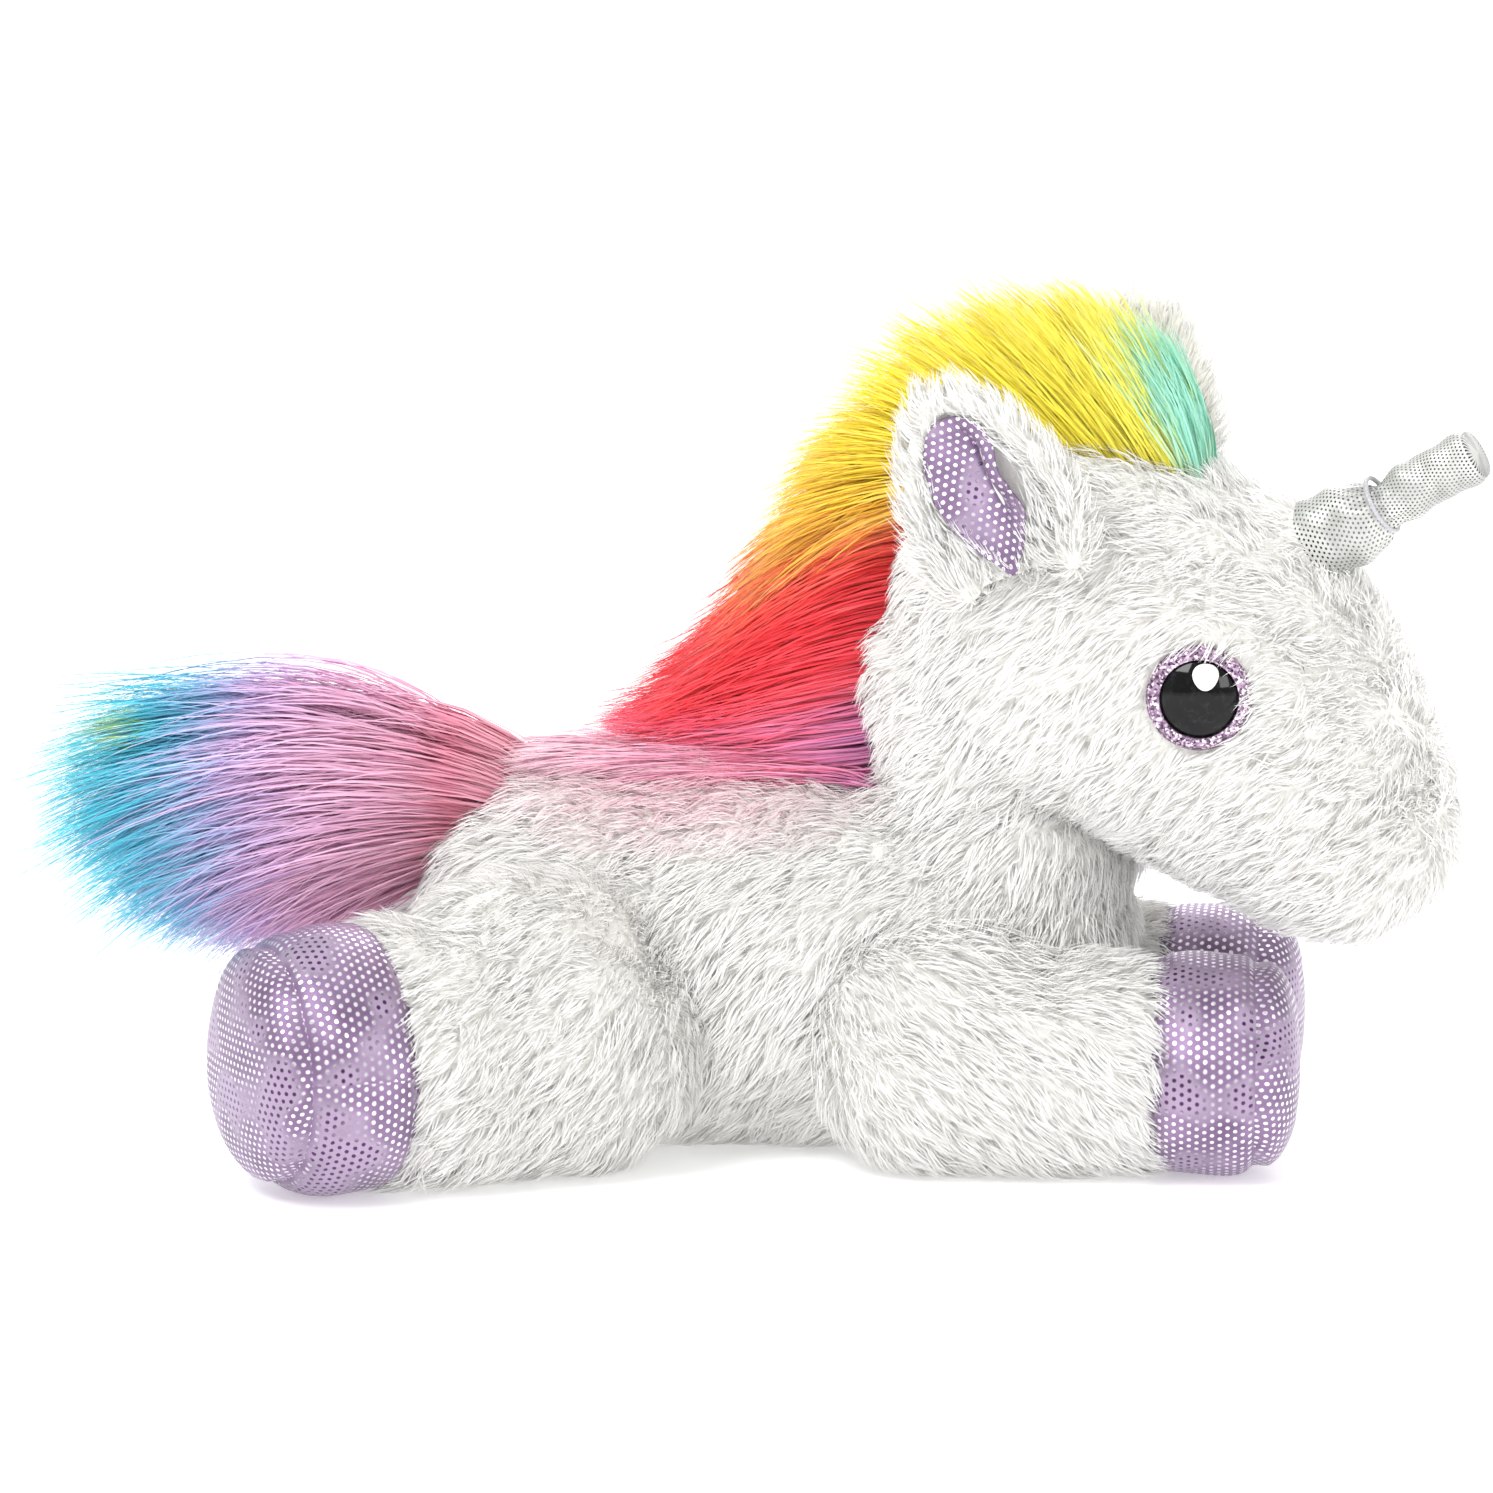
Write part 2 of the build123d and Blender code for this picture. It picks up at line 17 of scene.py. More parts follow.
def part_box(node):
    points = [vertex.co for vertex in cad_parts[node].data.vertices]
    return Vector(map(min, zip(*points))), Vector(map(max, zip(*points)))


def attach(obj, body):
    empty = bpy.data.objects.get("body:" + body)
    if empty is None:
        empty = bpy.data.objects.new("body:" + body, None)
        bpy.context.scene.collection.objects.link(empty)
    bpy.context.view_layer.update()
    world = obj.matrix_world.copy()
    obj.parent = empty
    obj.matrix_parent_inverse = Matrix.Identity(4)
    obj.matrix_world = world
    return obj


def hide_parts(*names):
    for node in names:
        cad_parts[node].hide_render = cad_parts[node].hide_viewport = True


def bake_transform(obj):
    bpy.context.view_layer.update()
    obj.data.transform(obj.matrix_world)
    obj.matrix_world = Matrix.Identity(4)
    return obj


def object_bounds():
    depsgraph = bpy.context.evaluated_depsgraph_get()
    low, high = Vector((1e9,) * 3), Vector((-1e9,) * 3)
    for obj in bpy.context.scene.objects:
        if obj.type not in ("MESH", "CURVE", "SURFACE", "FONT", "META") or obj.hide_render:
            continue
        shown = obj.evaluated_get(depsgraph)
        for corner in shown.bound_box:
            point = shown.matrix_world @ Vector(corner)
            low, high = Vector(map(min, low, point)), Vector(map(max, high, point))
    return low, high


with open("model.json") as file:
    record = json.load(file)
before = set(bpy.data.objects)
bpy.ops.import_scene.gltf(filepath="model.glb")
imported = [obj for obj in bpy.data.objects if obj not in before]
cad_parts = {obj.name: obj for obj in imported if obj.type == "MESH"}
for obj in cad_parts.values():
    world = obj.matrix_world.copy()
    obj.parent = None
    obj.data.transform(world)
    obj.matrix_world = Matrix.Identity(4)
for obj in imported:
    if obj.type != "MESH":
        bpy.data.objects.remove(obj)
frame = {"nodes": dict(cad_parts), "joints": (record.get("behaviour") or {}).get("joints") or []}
cad_low, cad_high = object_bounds()

MM = 0.001
SIDES = (("right", -1), ("left", 1))
JOINTS = {joint["name"]: joint for joint in frame["joints"]}
UP = np.array([0.0, 0.0, 1.0])
FULL_TURN = 2 * math.pi
FUR_UV = "OFBake"  # strands carry their colour in this map: x picks the hue, y runs root to tip
CLOTH_UV = "cloth"  # foil pieces carry this map, in millimetres of cloth


# --- places, from the frame ---
def unit(v):
    v = np.asarray(v, float)
    return v / np.maximum(np.linalg.norm(v, axis=-1, keepdims=True), 1e-12)


def bell(x, middle, width):
    """A smooth bump, 1 at its middle."""
    return np.exp(-(((x - middle) / width) ** 2))


def angles(sides):
    """Evenly spaced angles round a full turn."""
    return np.arange(sides) * FULL_TURN / sides


def read(items, field):
    """One vector of each item, as an array of rows."""
    values = np.empty(len(items) * 3)
    items.foreach_get(field, values)
    return values.reshape(-1, 3)


def positions(obj):
    return read(obj.data.vertices, "co")


def vertex_normals(obj):
    return read(obj.data.vertices, "normal")


def node_points(node):
    return positions(frame["nodes"][node])


def box(node):
    low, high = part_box(node)
    return np.array(low), np.array(high)


NECK = np.array(JOINTS["head_nod"]["pos_m"])
HEAD_LEFT = -unit(JOINTS["head_nod"]["axis"])
HEAD_FORWARD = unit(np.cross(HEAD_LEFT, UP))
HEAD_UP = np.cross(HEAD_FORWARD, HEAD_LEFT)
HEAD_AXES = np.stack([HEAD_FORWARD, HEAD_LEFT, HEAD_UP])


def from_head(points_mm):
    """Points given in millimetres in the head's own frame, whose origin is the neck pivot."""
    return NECK + (np.asarray(points_mm, float) * MM) @ HEAD_AXES


def to_head(points):
    """The opposite of from_head, in millimetres."""
    return (points - NECK) @ HEAD_AXES.T / MM


# --- meshes ---
def link(name, mesh):
    obj = bpy.data.objects.new(name, mesh)
    bpy.context.scene.collection.objects.link(obj)
    return obj


def from_bmesh(name, bm):
    mesh = bpy.data.meshes.new(name)
    bm.to_mesh(mesh)
    bm.free()
    return link(name, mesh)


def mesh_object(name, points, faces, uvs=None, layer=FUR_UV):
    """Object from points and groups of faces of one size each; uvs is one pair per face corner."""
    mesh = bpy.data.meshes.new(name)
    corners = np.concatenate([group.reshape(-1) for group in faces])
    totals = np.concatenate([np.full(len(group), group.shape[1]) for group in faces])
    starts = np.concatenate([[0], np.cumsum(totals)[:-1]])
    mesh.vertices.add(len(points))
    mesh.vertices.foreach_set("co", np.asarray(points, np.float32).reshape(-1))
    mesh.loops.add(len(corners))
    mesh.loops.foreach_set("vertex_index", corners.astype(np.int32))
    mesh.polygons.add(len(totals))
    mesh.polygons.foreach_set("loop_start", starts.astype(np.int32))
    mesh.polygons.foreach_set("use_smooth", np.full(len(totals), True))
    if uvs is not None:
        mesh.uv_layers.new(name=layer).data.foreach_set("uv", np.asarray(uvs, np.float32).reshape(-1))
    mesh.update(calc_edges=True)
    mesh.validate()
    return link(name, mesh)


def weld(obj, distance=0.01 * MM):
    """Joins points that lie on each other, such as the middle of a disc of rings."""
    bm = bmesh.new()
    bm.from_mesh(obj.data)
    bmesh.ops.remove_doubles(bm, verts=bm.verts, dist=distance)
    bmesh.ops.dissolve_degenerate(bm, edges=bm.edges, dist=distance)
    bm.to_mesh(obj.data)
    bm.free()
    return obj


def grid_mesh(name, rows, maps, closed=False, wrap=0.0):
    """Rows of points joined into a sheet, or into a tube when each row is a closed ring.

    The map is in millimetres of cloth; wrap is how far it runs on where a ring closes.
    """
    steps, sides, _ = rows.shape
    a, b = np.meshgrid(np.arange(steps - 1), np.arange(sides if closed else sides - 1), indexing="ij")
    c = (b + 1) % sides
    faces = np.stack([a * sides + b, a * sides + c, (a + 1) * sides + c, (a + 1) * sides + b], -1)
    faces = faces.reshape(-1, 4)
    uv = maps.reshape(-1, 2)[faces]
    uv[c.reshape(-1) == 0, 1:3, 0] += wrap
    obj = mesh_object(name, rows.reshape(-1, 3), [faces], uv, CLOTH_UV)
    return weld(obj) if closed else obj


def apply_modifiers(obj):
    graph = bpy.context.evaluated_depsgraph_get()
    mesh = bpy.data.meshes.new_from_object(obj.evaluated_get(graph))
    old = obj.data
    obj.modifiers.clear()
    obj.data = mesh
    bpy.data.meshes.remove(old)
    return obj


def modify(obj, kind, **settings):
    modifier = obj.modifiers.new(kind.lower(), kind)
    for key, value in settings.items():
        setattr(modifier, key, value)
    return apply_modifiers(obj)


def move_to(obj, points):
    obj.data.vertices.foreach_set("co", np.asarray(points, np.float32).reshape(-1))
    obj.data.update()
    return obj


def join(name, objects):
    bm = bmesh.new()
    for obj in objects:
        bm.from_mesh(obj.data)
        bpy.data.objects.remove(obj)
    return from_bmesh(name, bm)


def hull(points):
    bm = bmesh.new()
    for point in points:
        bm.verts.new(point)
    result = bmesh.ops.convex_hull(bm, input=bm.verts)
    inside = result["geom_interior"] + result["geom_unused"]
    loose = {item for item in inside if isinstance(item, bmesh.types.BMVert)}
    bmesh.ops.delete(bm, geom=list(loose), context="VERTS")
    bmesh.ops.recalc_face_normals(bm, faces=bm.faces)
    return from_bmesh("hull", bm)


def lump(centre, *radii_mm):
    """Ellipsoid with its radii along X, Y and Z, or one radius for a ball."""
    bm = bmesh.new()
    bmesh.ops.create_icosphere(bm, subdivisions=4, radius=1.0)
    obj = from_bmesh("lump", bm)
    return move_to(obj, np.asarray(centre) + positions(obj) * np.array(radii_mm) * MM)


def wobble(points, size_mm, seed):
    """Smooth noise, mostly in -1..1, for each point, with bumps about size_mm across."""
    rng = np.random.default_rng(seed)
    value = np.zeros(len(points))
    for _ in range(7):
        wave = unit(rng.normal(size=3)) * (FULL_TURN / (size_mm * MM)) * rng.uniform(0.6, 1.3)
        value += np.sin(points @ wave + rng.uniform(0, FULL_TURN))
    return value / 3.2


def soften(name, parts, voxel_mm=2.6, rounds=8):
    """One smooth closed skin round all the parts."""
    obj = join(name, parts)
    modify(obj, "REMESH", mode="VOXEL", voxel_size=voxel_mm * MM, use_smooth_shade=True)
    return modify(obj, "SMOOTH", factor=0.5, iterations=rounds)


def rest_on_floor(obj, height_mm=0.6):
    """Presses whatever is below the height flat, as the toy's own weight does."""
    points = positions(obj)
    points[:, 2] = np.maximum(points[:, 2], height_mm * MM)
    return move_to(obj, points)


def tuft(obj, height_mm, size_mm, seed):
    """Raises soft clumps on a fur skin."""
    points = positions(obj)
    rise = wobble(points, size_mm, seed) + 0.6 * wobble(points, size_mm * 0.45, seed + 1)
    return move_to(obj, points + vertex_normals(obj) * (rise * height_mm * MM)[:, None])


# --- strands ---
STRAND_TURN = 0.48  # how unevenly strands turn their flat side
STRAND_TAPER = 0.85  # share of its width that a strand loses by its tip
MAP_HALF = 0.0015  # a strand is about three pixels wide in its colour map


def ribbons(name, rows, widths, facing, tint, shade, seed):
    """Thin tapered strands: rows is (strand, step, 3), facing the side each strand shows.

    tint and shade are the two colour places of every step, as (strand, step), from 0 to 1.
    """
    count, steps, _ = rows.shape
    rng = np.random.default_rng(seed)
    tilt = facing + STRAND_TURN * rng.normal(size=facing.shape)
    across = unit(np.cross(np.gradient(rows, axis=1), tilt[:, None, :]))
    half = widths[:, None] * (1 - STRAND_TAPER * np.linspace(0, 1, steps) ** 1.6) / 2
    edge = (across * half[:, :, None])[:, :-1]
    sides = np.stack([rows[:, :-1] - edge, rows[:, :-1] + edge], 2)
    points = np.concatenate([sides.reshape(count, -1, 3), rows[:, -1:]], 1)
    place = np.clip(np.stack([tint, shade], 2), 0.005, 0.995)
    map_edge = np.array([-MAP_HALF, MAP_HALF])
    map_sides = np.stack([place[:, :-1] + map_edge, place[:, :-1] - map_edge], 2)
    uvs = np.concatenate([map_sides.reshape(count, -1, 2), place[:, -1:]], 1)
    base = np.arange(count)[:, None] * points.shape[1]
    quads = np.array([[2 * k, 2 * k + 1, 2 * k + 3, 2 * k + 2] for k in range(steps - 2)])
    tips = base + 2 * (steps - 2) + np.arange(3)
    faces = [(base[:, :, None] + quads[None]).reshape(-1, 4), tips]
    corners = np.concatenate([group.reshape(-1) for group in faces])
    return mesh_object(name, points.reshape(-1, 3), faces, uvs.reshape(-1, 2)[corners])


def scatter(obj, count, rng, keep):
    """Random points on a skin with their normals, where keep(points, normals) allows."""
    mesh = obj.data
    mesh.calc_loop_triangles()
    tris = np.empty(len(mesh.loop_triangles) * 3, np.int32)
    mesh.loop_triangles.foreach_get("vertices", tris)
    tris = tris.reshape(-1, 3)
    points = positions(obj)
    a, b, c = (points[tris[:, k]] for k in range(3))
    area = np.linalg.norm(np.cross(b - a, c - a), axis=1)
    pick = rng.choice(len(tris), size=count, p=area / area.sum())
    r1, r2 = np.sqrt(rng.random(count)), rng.random(count)
    weights = np.stack([1 - r1, r1 * (1 - r2), r1 * r2], 1)
    at = np.einsum("nk,nkd->nd", weights, points[tris[pick]])
    out = unit(np.einsum("nk,nkd->nd", weights, vertex_normals(obj)[tris[pick]]))
    chosen = keep(at, out)
    return at[chosen], out[chosen]


def group_means(inverse, values):
    """Each row's group average."""
    total = np.bincount(inverse)
    return np.stack([np.bincount(inverse, column) / total for column in values.T], 1)[inverse]


def clumps(roots, size_mm, rng):
    """For each root, the middle of the clump it belongs to and that clump's own random lean."""
    warp = np.stack([wobble(roots, size_mm * 3, 90 + k) for k in range(3)], 1) * size_mm * MM * 0.6
    cell = np.floor((roots + warp) / (size_mm * MM)).astype(np.int64)
    inverse = np.unique(cell, axis=0, return_inverse=True)[1].reshape(-1)
    lean = rng.normal(size=(inverse.max() + 1, 3))
    return group_means(inverse, roots), lean[inverse]


CLUMP_SIZE = 5.0
CLUMP_LEAN = 0.16
STRAND_LEAN = 0.12
CLUMP_GATHER = 0.40  # share of the way that tips are drawn to the middle of their clump


def everywhere(at, out):
    return np.ones(len(at), bool)


def white_shades(at, rng):
    """Places in the white pile's map that are plain white."""
    return rng.uniform(0, 0.45, len(at))


def grow_fur(name, skin, per_mm2, length_mm, lay, seed, keep=everywhere, hue=white_shades, lift=0.75):
    """Short pile on a skin: strands rise from it, lie over along lay and gather into clumps."""
    rng = np.random.default_rng(seed)
    area = sum(polygon.area for polygon in skin.data.polygons) / MM**2
    roots, out = scatter(skin, int(area * per_mm2), rng, keep)
    count = len(roots)
    flow = lay(roots, out)
    centre, lean = clumps(roots, CLUMP_SIZE, rng)
    flow = unit(flow) + CLUMP_LEAN * lean + STRAND_LEAN * rng.normal(size=(count, 3))
    flow = unit(flow - out * np.sum(flow * out, 1, keepdims=True))
    length = length_mm * MM * rng.uniform(0.6, 1.15, count)[:, None]
    gather = (centre - roots) * CLUMP_GATHER
    rows = []
    for t in (0.0, 0.52, 1.0):
        rise = out * (lift * t - 0.30 * t * t) + flow * (0.25 * t + 0.55 * t * t)
        rows.append(roots + length * rise + gather * t * t)
    rows = np.stack(rows, 1)
    rows[:, :, 2] = np.maximum(rows[:, :, 2], 0.25 * MM)
    widths = rng.uniform(0.27, 0.47, count) * MM
    tint = np.repeat(hue(roots, rng)[:, None], 3, axis=1)
    # Places along each strand for the map's y; the materials darken its root end as painted shade.
    shade = np.array([0.04, 0.5, 0.98]) * rng.uniform(0.8, 1.0, (count, 1))
    return ribbons(name, rows, widths, out, tint, shade, seed + 1)


def bezier(p0, p1, p2, p3, steps):
    """Points along cubic curves, as (curve, step, 3)."""
    t = np.linspace(0, 1, steps)[None, :, None]
    p0, p1, p2, p3 = (p[:, None, :] for p in (p0, p1, p2, p3))
    return (1 - t) ** 3 * p0 + 3 * (1 - t) ** 2 * t * p1 + 3 * (1 - t) * t * t * p2 + t**3 * p3


# --- materials ---
def linear(hex_colour):
    """Linear colour from a six-digit display colour."""
    values = [int(hex_colour[k : k + 2], 16) / 255 for k in (0, 2, 4)]
    return [v / 12.92 if v <= 0.04045 else ((v + 0.055) / 1.055) ** 2.4 for v in values] + [1.0]


def grey(value):
    return (value, value, value, 1.0)


class Shader:
    """A Principled material with short calls for its nodes."""

    def __init__(self, name):
        self.material = bpy.data.materials.new(name)
        self.material.use_nodes = True
        self.tree = self.material.node_tree
        self.surface = self.tree.nodes["Principled BSDF"]

    def node(self, kind, **settings):
        node = self.tree.nodes.new(kind)
        for key, value in settings.items():
            setattr(node, key, value)
        return node

    def put(self, target, value):
        """Wires a socket to the target, or sets the target to a plain value."""
        if isinstance(value, bpy.types.NodeSocket):
            self.tree.links.new(value, target)
        else:
            target.default_value = value

    def set(self, **values):
        for key, value in values.items():
            self.put(self.surface.inputs[key.replace("_", " ")], value)
        return self

    def math(self, operation, a, b=0.0, c=0.0):
        node = self.node("ShaderNodeMath", operation=operation)
        for socket, value in zip(node.inputs, (a, b, c)):
            self.put(socket, value)
        return node.outputs[0]

    def mix(self, share, a, b, blend="MIX"):
        node = self.node("ShaderNodeMix", data_type="RGBA", blend_type=blend)
        for socket, value in zip((node.inputs[0], node.inputs[6], node.inputs[7]), (share, a, b)):
            self.put(socket, value)
        return node.outputs[2]

    def noise(self, vector, scale, detail=2.0, roughness=0.5):
        node = self.node("ShaderNodeTexNoise")
        for key, value in zip(("Vector", "Scale", "Detail", "Roughness"), (vector, scale, detail, roughness)):
            self.put(node.inputs[key], value)
        return node.outputs["Fac"]

    def ramp(self, value, stops):
        node = self.node("ShaderNodeValToRGB")
        elements = node.color_ramp.elements
        while len(elements) < len(stops):
            elements.new(0.5)
        for element, (place, colour) in zip(elements, stops):
            element.position = place
            element.color = colour
        self.put(node.inputs[0], value)
        return node.outputs[0]

    def object_place(self):
        return self.node("ShaderNodeTexCoord").outputs["Object"]

    def uv(self, name):
        return self.node("ShaderNodeUVMap", uv_map=name).outputs[0]

    def split(self, vector):
        node = self.node("ShaderNodeSeparateXYZ")
        self.put(node.inputs[0], vector)
        return node.outputs

    def bump(self, height, strength, distance_mm):
        node = self.node("ShaderNodeBump")
        for key, value in zip(("Strength", "Distance", "Height"), (strength, distance_mm * MM, height)):
            self.put(node.inputs[key], value)
        return self.set(Normal=node.outputs[0])


def make_fur(name, tip, root, tint):
    """White pile: the map's x runs through strand shades, then on into the pink overspray; along y the roots
    take painted shade.
    """
    s = Shader(name)
    x, y, _ = s.split(s.uv(FUR_UV))
    # Painted shade: each strand darkens from tip to root, standing in for the shade deep in the pile.
    root_shade = s.ramp(y, [(0.0, linear(root)), (0.3, linear(tip)), (1.0, linear("FFFFFD"))])
    shades = [(0.0, grey(0.93)), (0.25, grey(0.98)), (0.45, grey(1.0)), (0.5, grey(1.0)), (1.0, linear(tint))]
    colour = s.mix(1.0, root_shade, s.ramp(x, shades), "MULTIPLY")
    return s.set(Base_Color=colour, Roughness=0.72, Specular_IOR_Level=0.25, Sheen_Weight=0.25).material


def make_skin(name, colour):
    """The backing under white pile, with soft clumps of pile on it."""
    s = Shader(name)
    place = s.object_place()
    fluff = s.noise(place, 260.0, 3.0, 0.6)
    s.set(Base_Color=s.ramp(fluff, [(0.25, linear("EFEEE9")), (0.7, linear(colour))]))
    s.set(Roughness=0.85, Specular_IOR_Level=0.2, Sheen_Weight=0.2)
    return s.bump(s.noise(place, 900.0, 3.0, 0.7), 0.6, 0.6).material


def make_rainbow(name, stops, stain=None):
    """Long dyed pile: the map's x is the place in the dye, y runs from root to tip and carries painted shade
    at the root.

    A stain is a colour that only the roots take on round one place in the dye.
    """
    s = Shader(name)
    x, y, _ = s.split(s.uv(FUR_UV))
    dye = s.ramp(x, [(place, linear(colour)) for place, colour in stops])
    if stain:
        colour, place, width = stain
        across = s.ramp(x, [(place - width, grey(0.0)), (place, grey(0.65)), (place + width, grey(0.0))])
        at_root = s.ramp(y, [(0.12, grey(1.0)), (0.55, grey(0.0))])
        dye = s.mix(s.math("MULTIPLY", across, at_root), dye, linear(colour))
    # Painted shade: strands darken towards their roots, where the long pile shades itself.
    shade = s.ramp(y, [(0.0, grey(0.84)), (0.35, grey(0.97)), (1.0, grey(1.0))])
    colour = s.mix(1.0, dye, shade, "MULTIPLY")
    pale = s.math("MULTIPLY", s.math("MAXIMUM", s.math("SUBTRACT", y, 0.72), 0.0), 1.1)
    colour = s.mix(pale, colour, grey(1.0))
    return s.set(Base_Color=colour, Roughness=0.42, Specular_IOR_Level=0.35, Sheen_Weight=0.15).material


def hex_dots(s, x, y, pitch_mm):
    """Distance in millimetres to the nearest dot of a hexagonal pattern."""
    rows = []
    for shift in (0.0, 0.5):
        parts = []
        for value, step in ((x, pitch_mm), (y, pitch_mm * math.sqrt(3))):
            cell = s.math("FRACT", s.math("MULTIPLY_ADD", value, 1 / step, shift))
            offset = s.math("MULTIPLY", s.math("SUBTRACT", cell, 0.5), step)
            parts.append(s.math("MULTIPLY", offset, offset))
        rows.append(s.math("SQRT", s.math("ADD", *parts)))
    return s.math("MINIMUM", *rows)


WEAVE_PITCH = 0.42
DOT_EDGE = 9.0  # how sharply a printed dot ends


def make_foil(name, cloth, deep, weave_and_painted_sheen, pitch_mm, dot_mm, dot_colour, dot_painted_reflection, contrast=1.0):
    """Shiny woven cloth printed with rows of foil dots; its map is in millimetres.

    In patches of painted sheen the cloth is lightened and its dots turn from their own colour to a dark
    painted reflection.
    """
    s = Shader(name)
    uv = s.uv(CLOTH_UV)
    x, y, _ = s.split(uv)
    inside = s.math("MULTIPLY", s.math("SUBTRACT", dot_mm / 2, hex_dots(s, x, y, pitch_mm)), DOT_EDGE)
    dot = s.math("SMOOTH_MIN", 1.0, s.math("MAXIMUM", inside, 0.0), 0.05)
    weave = s.math("SINE", s.math("MULTIPLY", s.math("ADD", x, y), FULL_TURN / WEAVE_PITCH))
    base = s.ramp(s.noise(uv, 0.09, 2.0, 0.5), [(0.3, linear(deep)), (0.62, linear(cloth))])
    # The weave's threads are lightened with the sheen colour: a woven pattern, partly painted sheen.
    base = s.mix(s.math("MULTIPLY_ADD", weave, 0.10 * contrast, 0.12), base, linear(weave_and_painted_sheen))
    # Painted sheen: noise patches where the cloth is lightened as if it caught the lamps.
    painted_sheen_mask = s.ramp(s.noise(uv, 0.075, 1.0, 0.4), [(0.50, grey(0.0)), (0.60, grey(1.0))])
    base = s.mix(s.math("MULTIPLY", painted_sheen_mask, 0.45), base, linear(weave_and_painted_sheen))
    # Painted reflection: in the sheen patches the foil dots darken as if mirroring a dark room.
    dot_print_and_reflection = s.mix(painted_sheen_mask, linear(dot_colour), linear(dot_painted_reflection))
    s.set(Base_Color=s.mix(dot, base, dot_print_and_reflection), Sheen_Weight=0.1)
    s.set(Metallic=s.math("MULTIPLY_ADD", dot, 0.45, 0.5))
    s.set(Roughness=s.math("MULTIPLY_ADD", dot, -0.22, 0.40))
    lift = s.math("ADD", s.math("MULTIPLY", dot, 0.7), s.math("MULTIPLY", weave, 0.25))
    return s.bump(lift, 0.5, 0.12).material


def make_glitter():
    """Fine glitter set in a clear pink-lilac ring."""
    s = Shader("pink_glitter")
    flakes = s.node("ShaderNodeTexVoronoi", feature="F1")
    s.put(flakes.inputs["Vector"], s.object_place())
    s.put(flakes.inputs["Scale"], 2300.0)
    pick, _, other = s.split(flakes.outputs["Color"])
    stops = [(0.0, "2A1E2C"), (0.22, "67506A"), (0.45, "987A99"), (0.75, "BFA3BE"), (0.93, "FFF0F8")]
    s.set(Base_Color=s.ramp(pick, [(place, linear(colour)) for place, colour in stops]))
    s.set(Metallic=s.math("MULTIPLY", other, 0.7), Roughness=s.math("MULTIPLY_ADD", other, 0.3, 0.2))
    return s.bump(pick, 0.8, 0.15).material


def make_gloss(name, colour, dust):
    """Glossy moulded plastic with a little dust and swirl in its lacquer."""
    s = Shader(name)
    swirl = s.noise(s.object_place(), 700.0, 4.0, 0.6)
    s.set(Base_Color=s.ramp(swirl, [(0.5, linear(colour)), (1.0, linear(dust))]))
    s.set(Roughness=s.math("MULTIPLY_ADD", swirl, 0.06, 0.04), Specular_IOR_Level=0.3)
    return s.material


def make_matt(name, low, high, scale, roughness, grain_mm=0.3):
    """Plain dull stuff, mottled from one colour to another: stuffing, cloth, plastic or thread."""
    s = Shader(name)
    mottle = s.noise(s.object_place(), scale, 4.0, 0.65)
    s.set(Base_Color=s.ramp(mottle, [(0.3, linear(low)), (0.7, linear(high))]), Roughness=roughness)
    return s.bump(mottle, 0.5, grain_mm).material


def set_material(obj, material):
    obj.data.materials.clear()
    obj.data.materials.append(material)


def finish_nodes(material, *names):
    for name in names:
        set_material(frame["nodes"][name], material)


def dress(obj, material, body=None, replaces=()):
    """Gives a piece its material and the body it moves with, and hides the parts it replaces."""
    set_material(obj, material)
    if replaces:
        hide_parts(*replaces)
    if body:
        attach(obj, body)


# --- shapes read off the frame ---
def reach_across(points, origin, along, stations, across=None):
    """How far a form reaches from its axis at each distance along it, in metres."""
    offset = points - origin
    distance = offset @ along
    if across is None:
        reach = np.linalg.norm(offset - distance[:, None] * along, axis=1)
    else:
        reach = np.abs(offset @ across)
    stations = np.asarray(stations)
    found = []
    for station in stations:
        near = np.abs(distance - station) < 1.6 * MM
        found.append(reach[near].max() if near.any() else np.nan)
    found = np.array(found)
    good = ~np.isnan(found)
    return np.interp(stations, stations[good], found[good])


def leg_frame(limb, word):
    """Pivot, the direction the leg points and its side direction."""
    pivot = np.array(JOINTS[f"{limb}_leg_splay_{word}"]["pos_m"])
    ahead = node_points(f"{limb}_hoof_sole_{word}").mean(0) - pivot
    ahead = unit(ahead * (1, 1, 0))
    return pivot, ahead, np.cross(UP, ahead)


def eye_frame(word):
    """Seat of an eye on the head, its outward direction and two directions across it."""
    low, high = box(f"eye_washer_{word}")
    ring_low, ring_high = box(f"eye_ring_{word}")
    out = unit((ring_low + ring_high - low - high) / 2)
    seat = (ring_low + ring_high) / 2
    seat = seat + out * ((node_points(f"eye_ring_{word}") - seat) @ out).min()
    right = unit(np.cross(UP, out))
    return seat, out, right, np.cross(out, right)


def ear_frame(word):
    """Foot of an ear, the direction it stands, the direction across it and the way it faces."""
    joint = JOINTS[f"ear_flap_{word}"]
    foot = np.array(joint["pos_m"])
    across = -unit(joint["axis"])
    points = node_points(f"ear_back_{word}")
    along = points[np.argmax(np.linalg.norm(points - foot, axis=1))] - foot
    along = unit(along - across * (along @ across))
    return foot, along, across, np.cross(along, across)


def from_axis(points, origin, direction):
    """Height of points along a direction and their distance from its line."""
    offset = points - origin
    height = offset @ direction
    return height, np.linalg.norm(offset - height[:, None] * direction, axis=1)


EYES = {word: eye_frame(word) for word, _ in SIDES}
HORN = np.array(JOINTS["horn_flex"]["pos_m"])
horn_points = node_points("horn_cover")
horn_tip = horn_points[np.argmax(np.linalg.norm(horn_points - HORN, axis=1))]
HORN_AHEAD = unit(horn_tip - HORN)
HORN_LENGTH = np.linalg.norm(horn_tip - HORN)


# --- skins ---
def copy_of(node):
    return link("copy", frame["nodes"][node].data.copy())


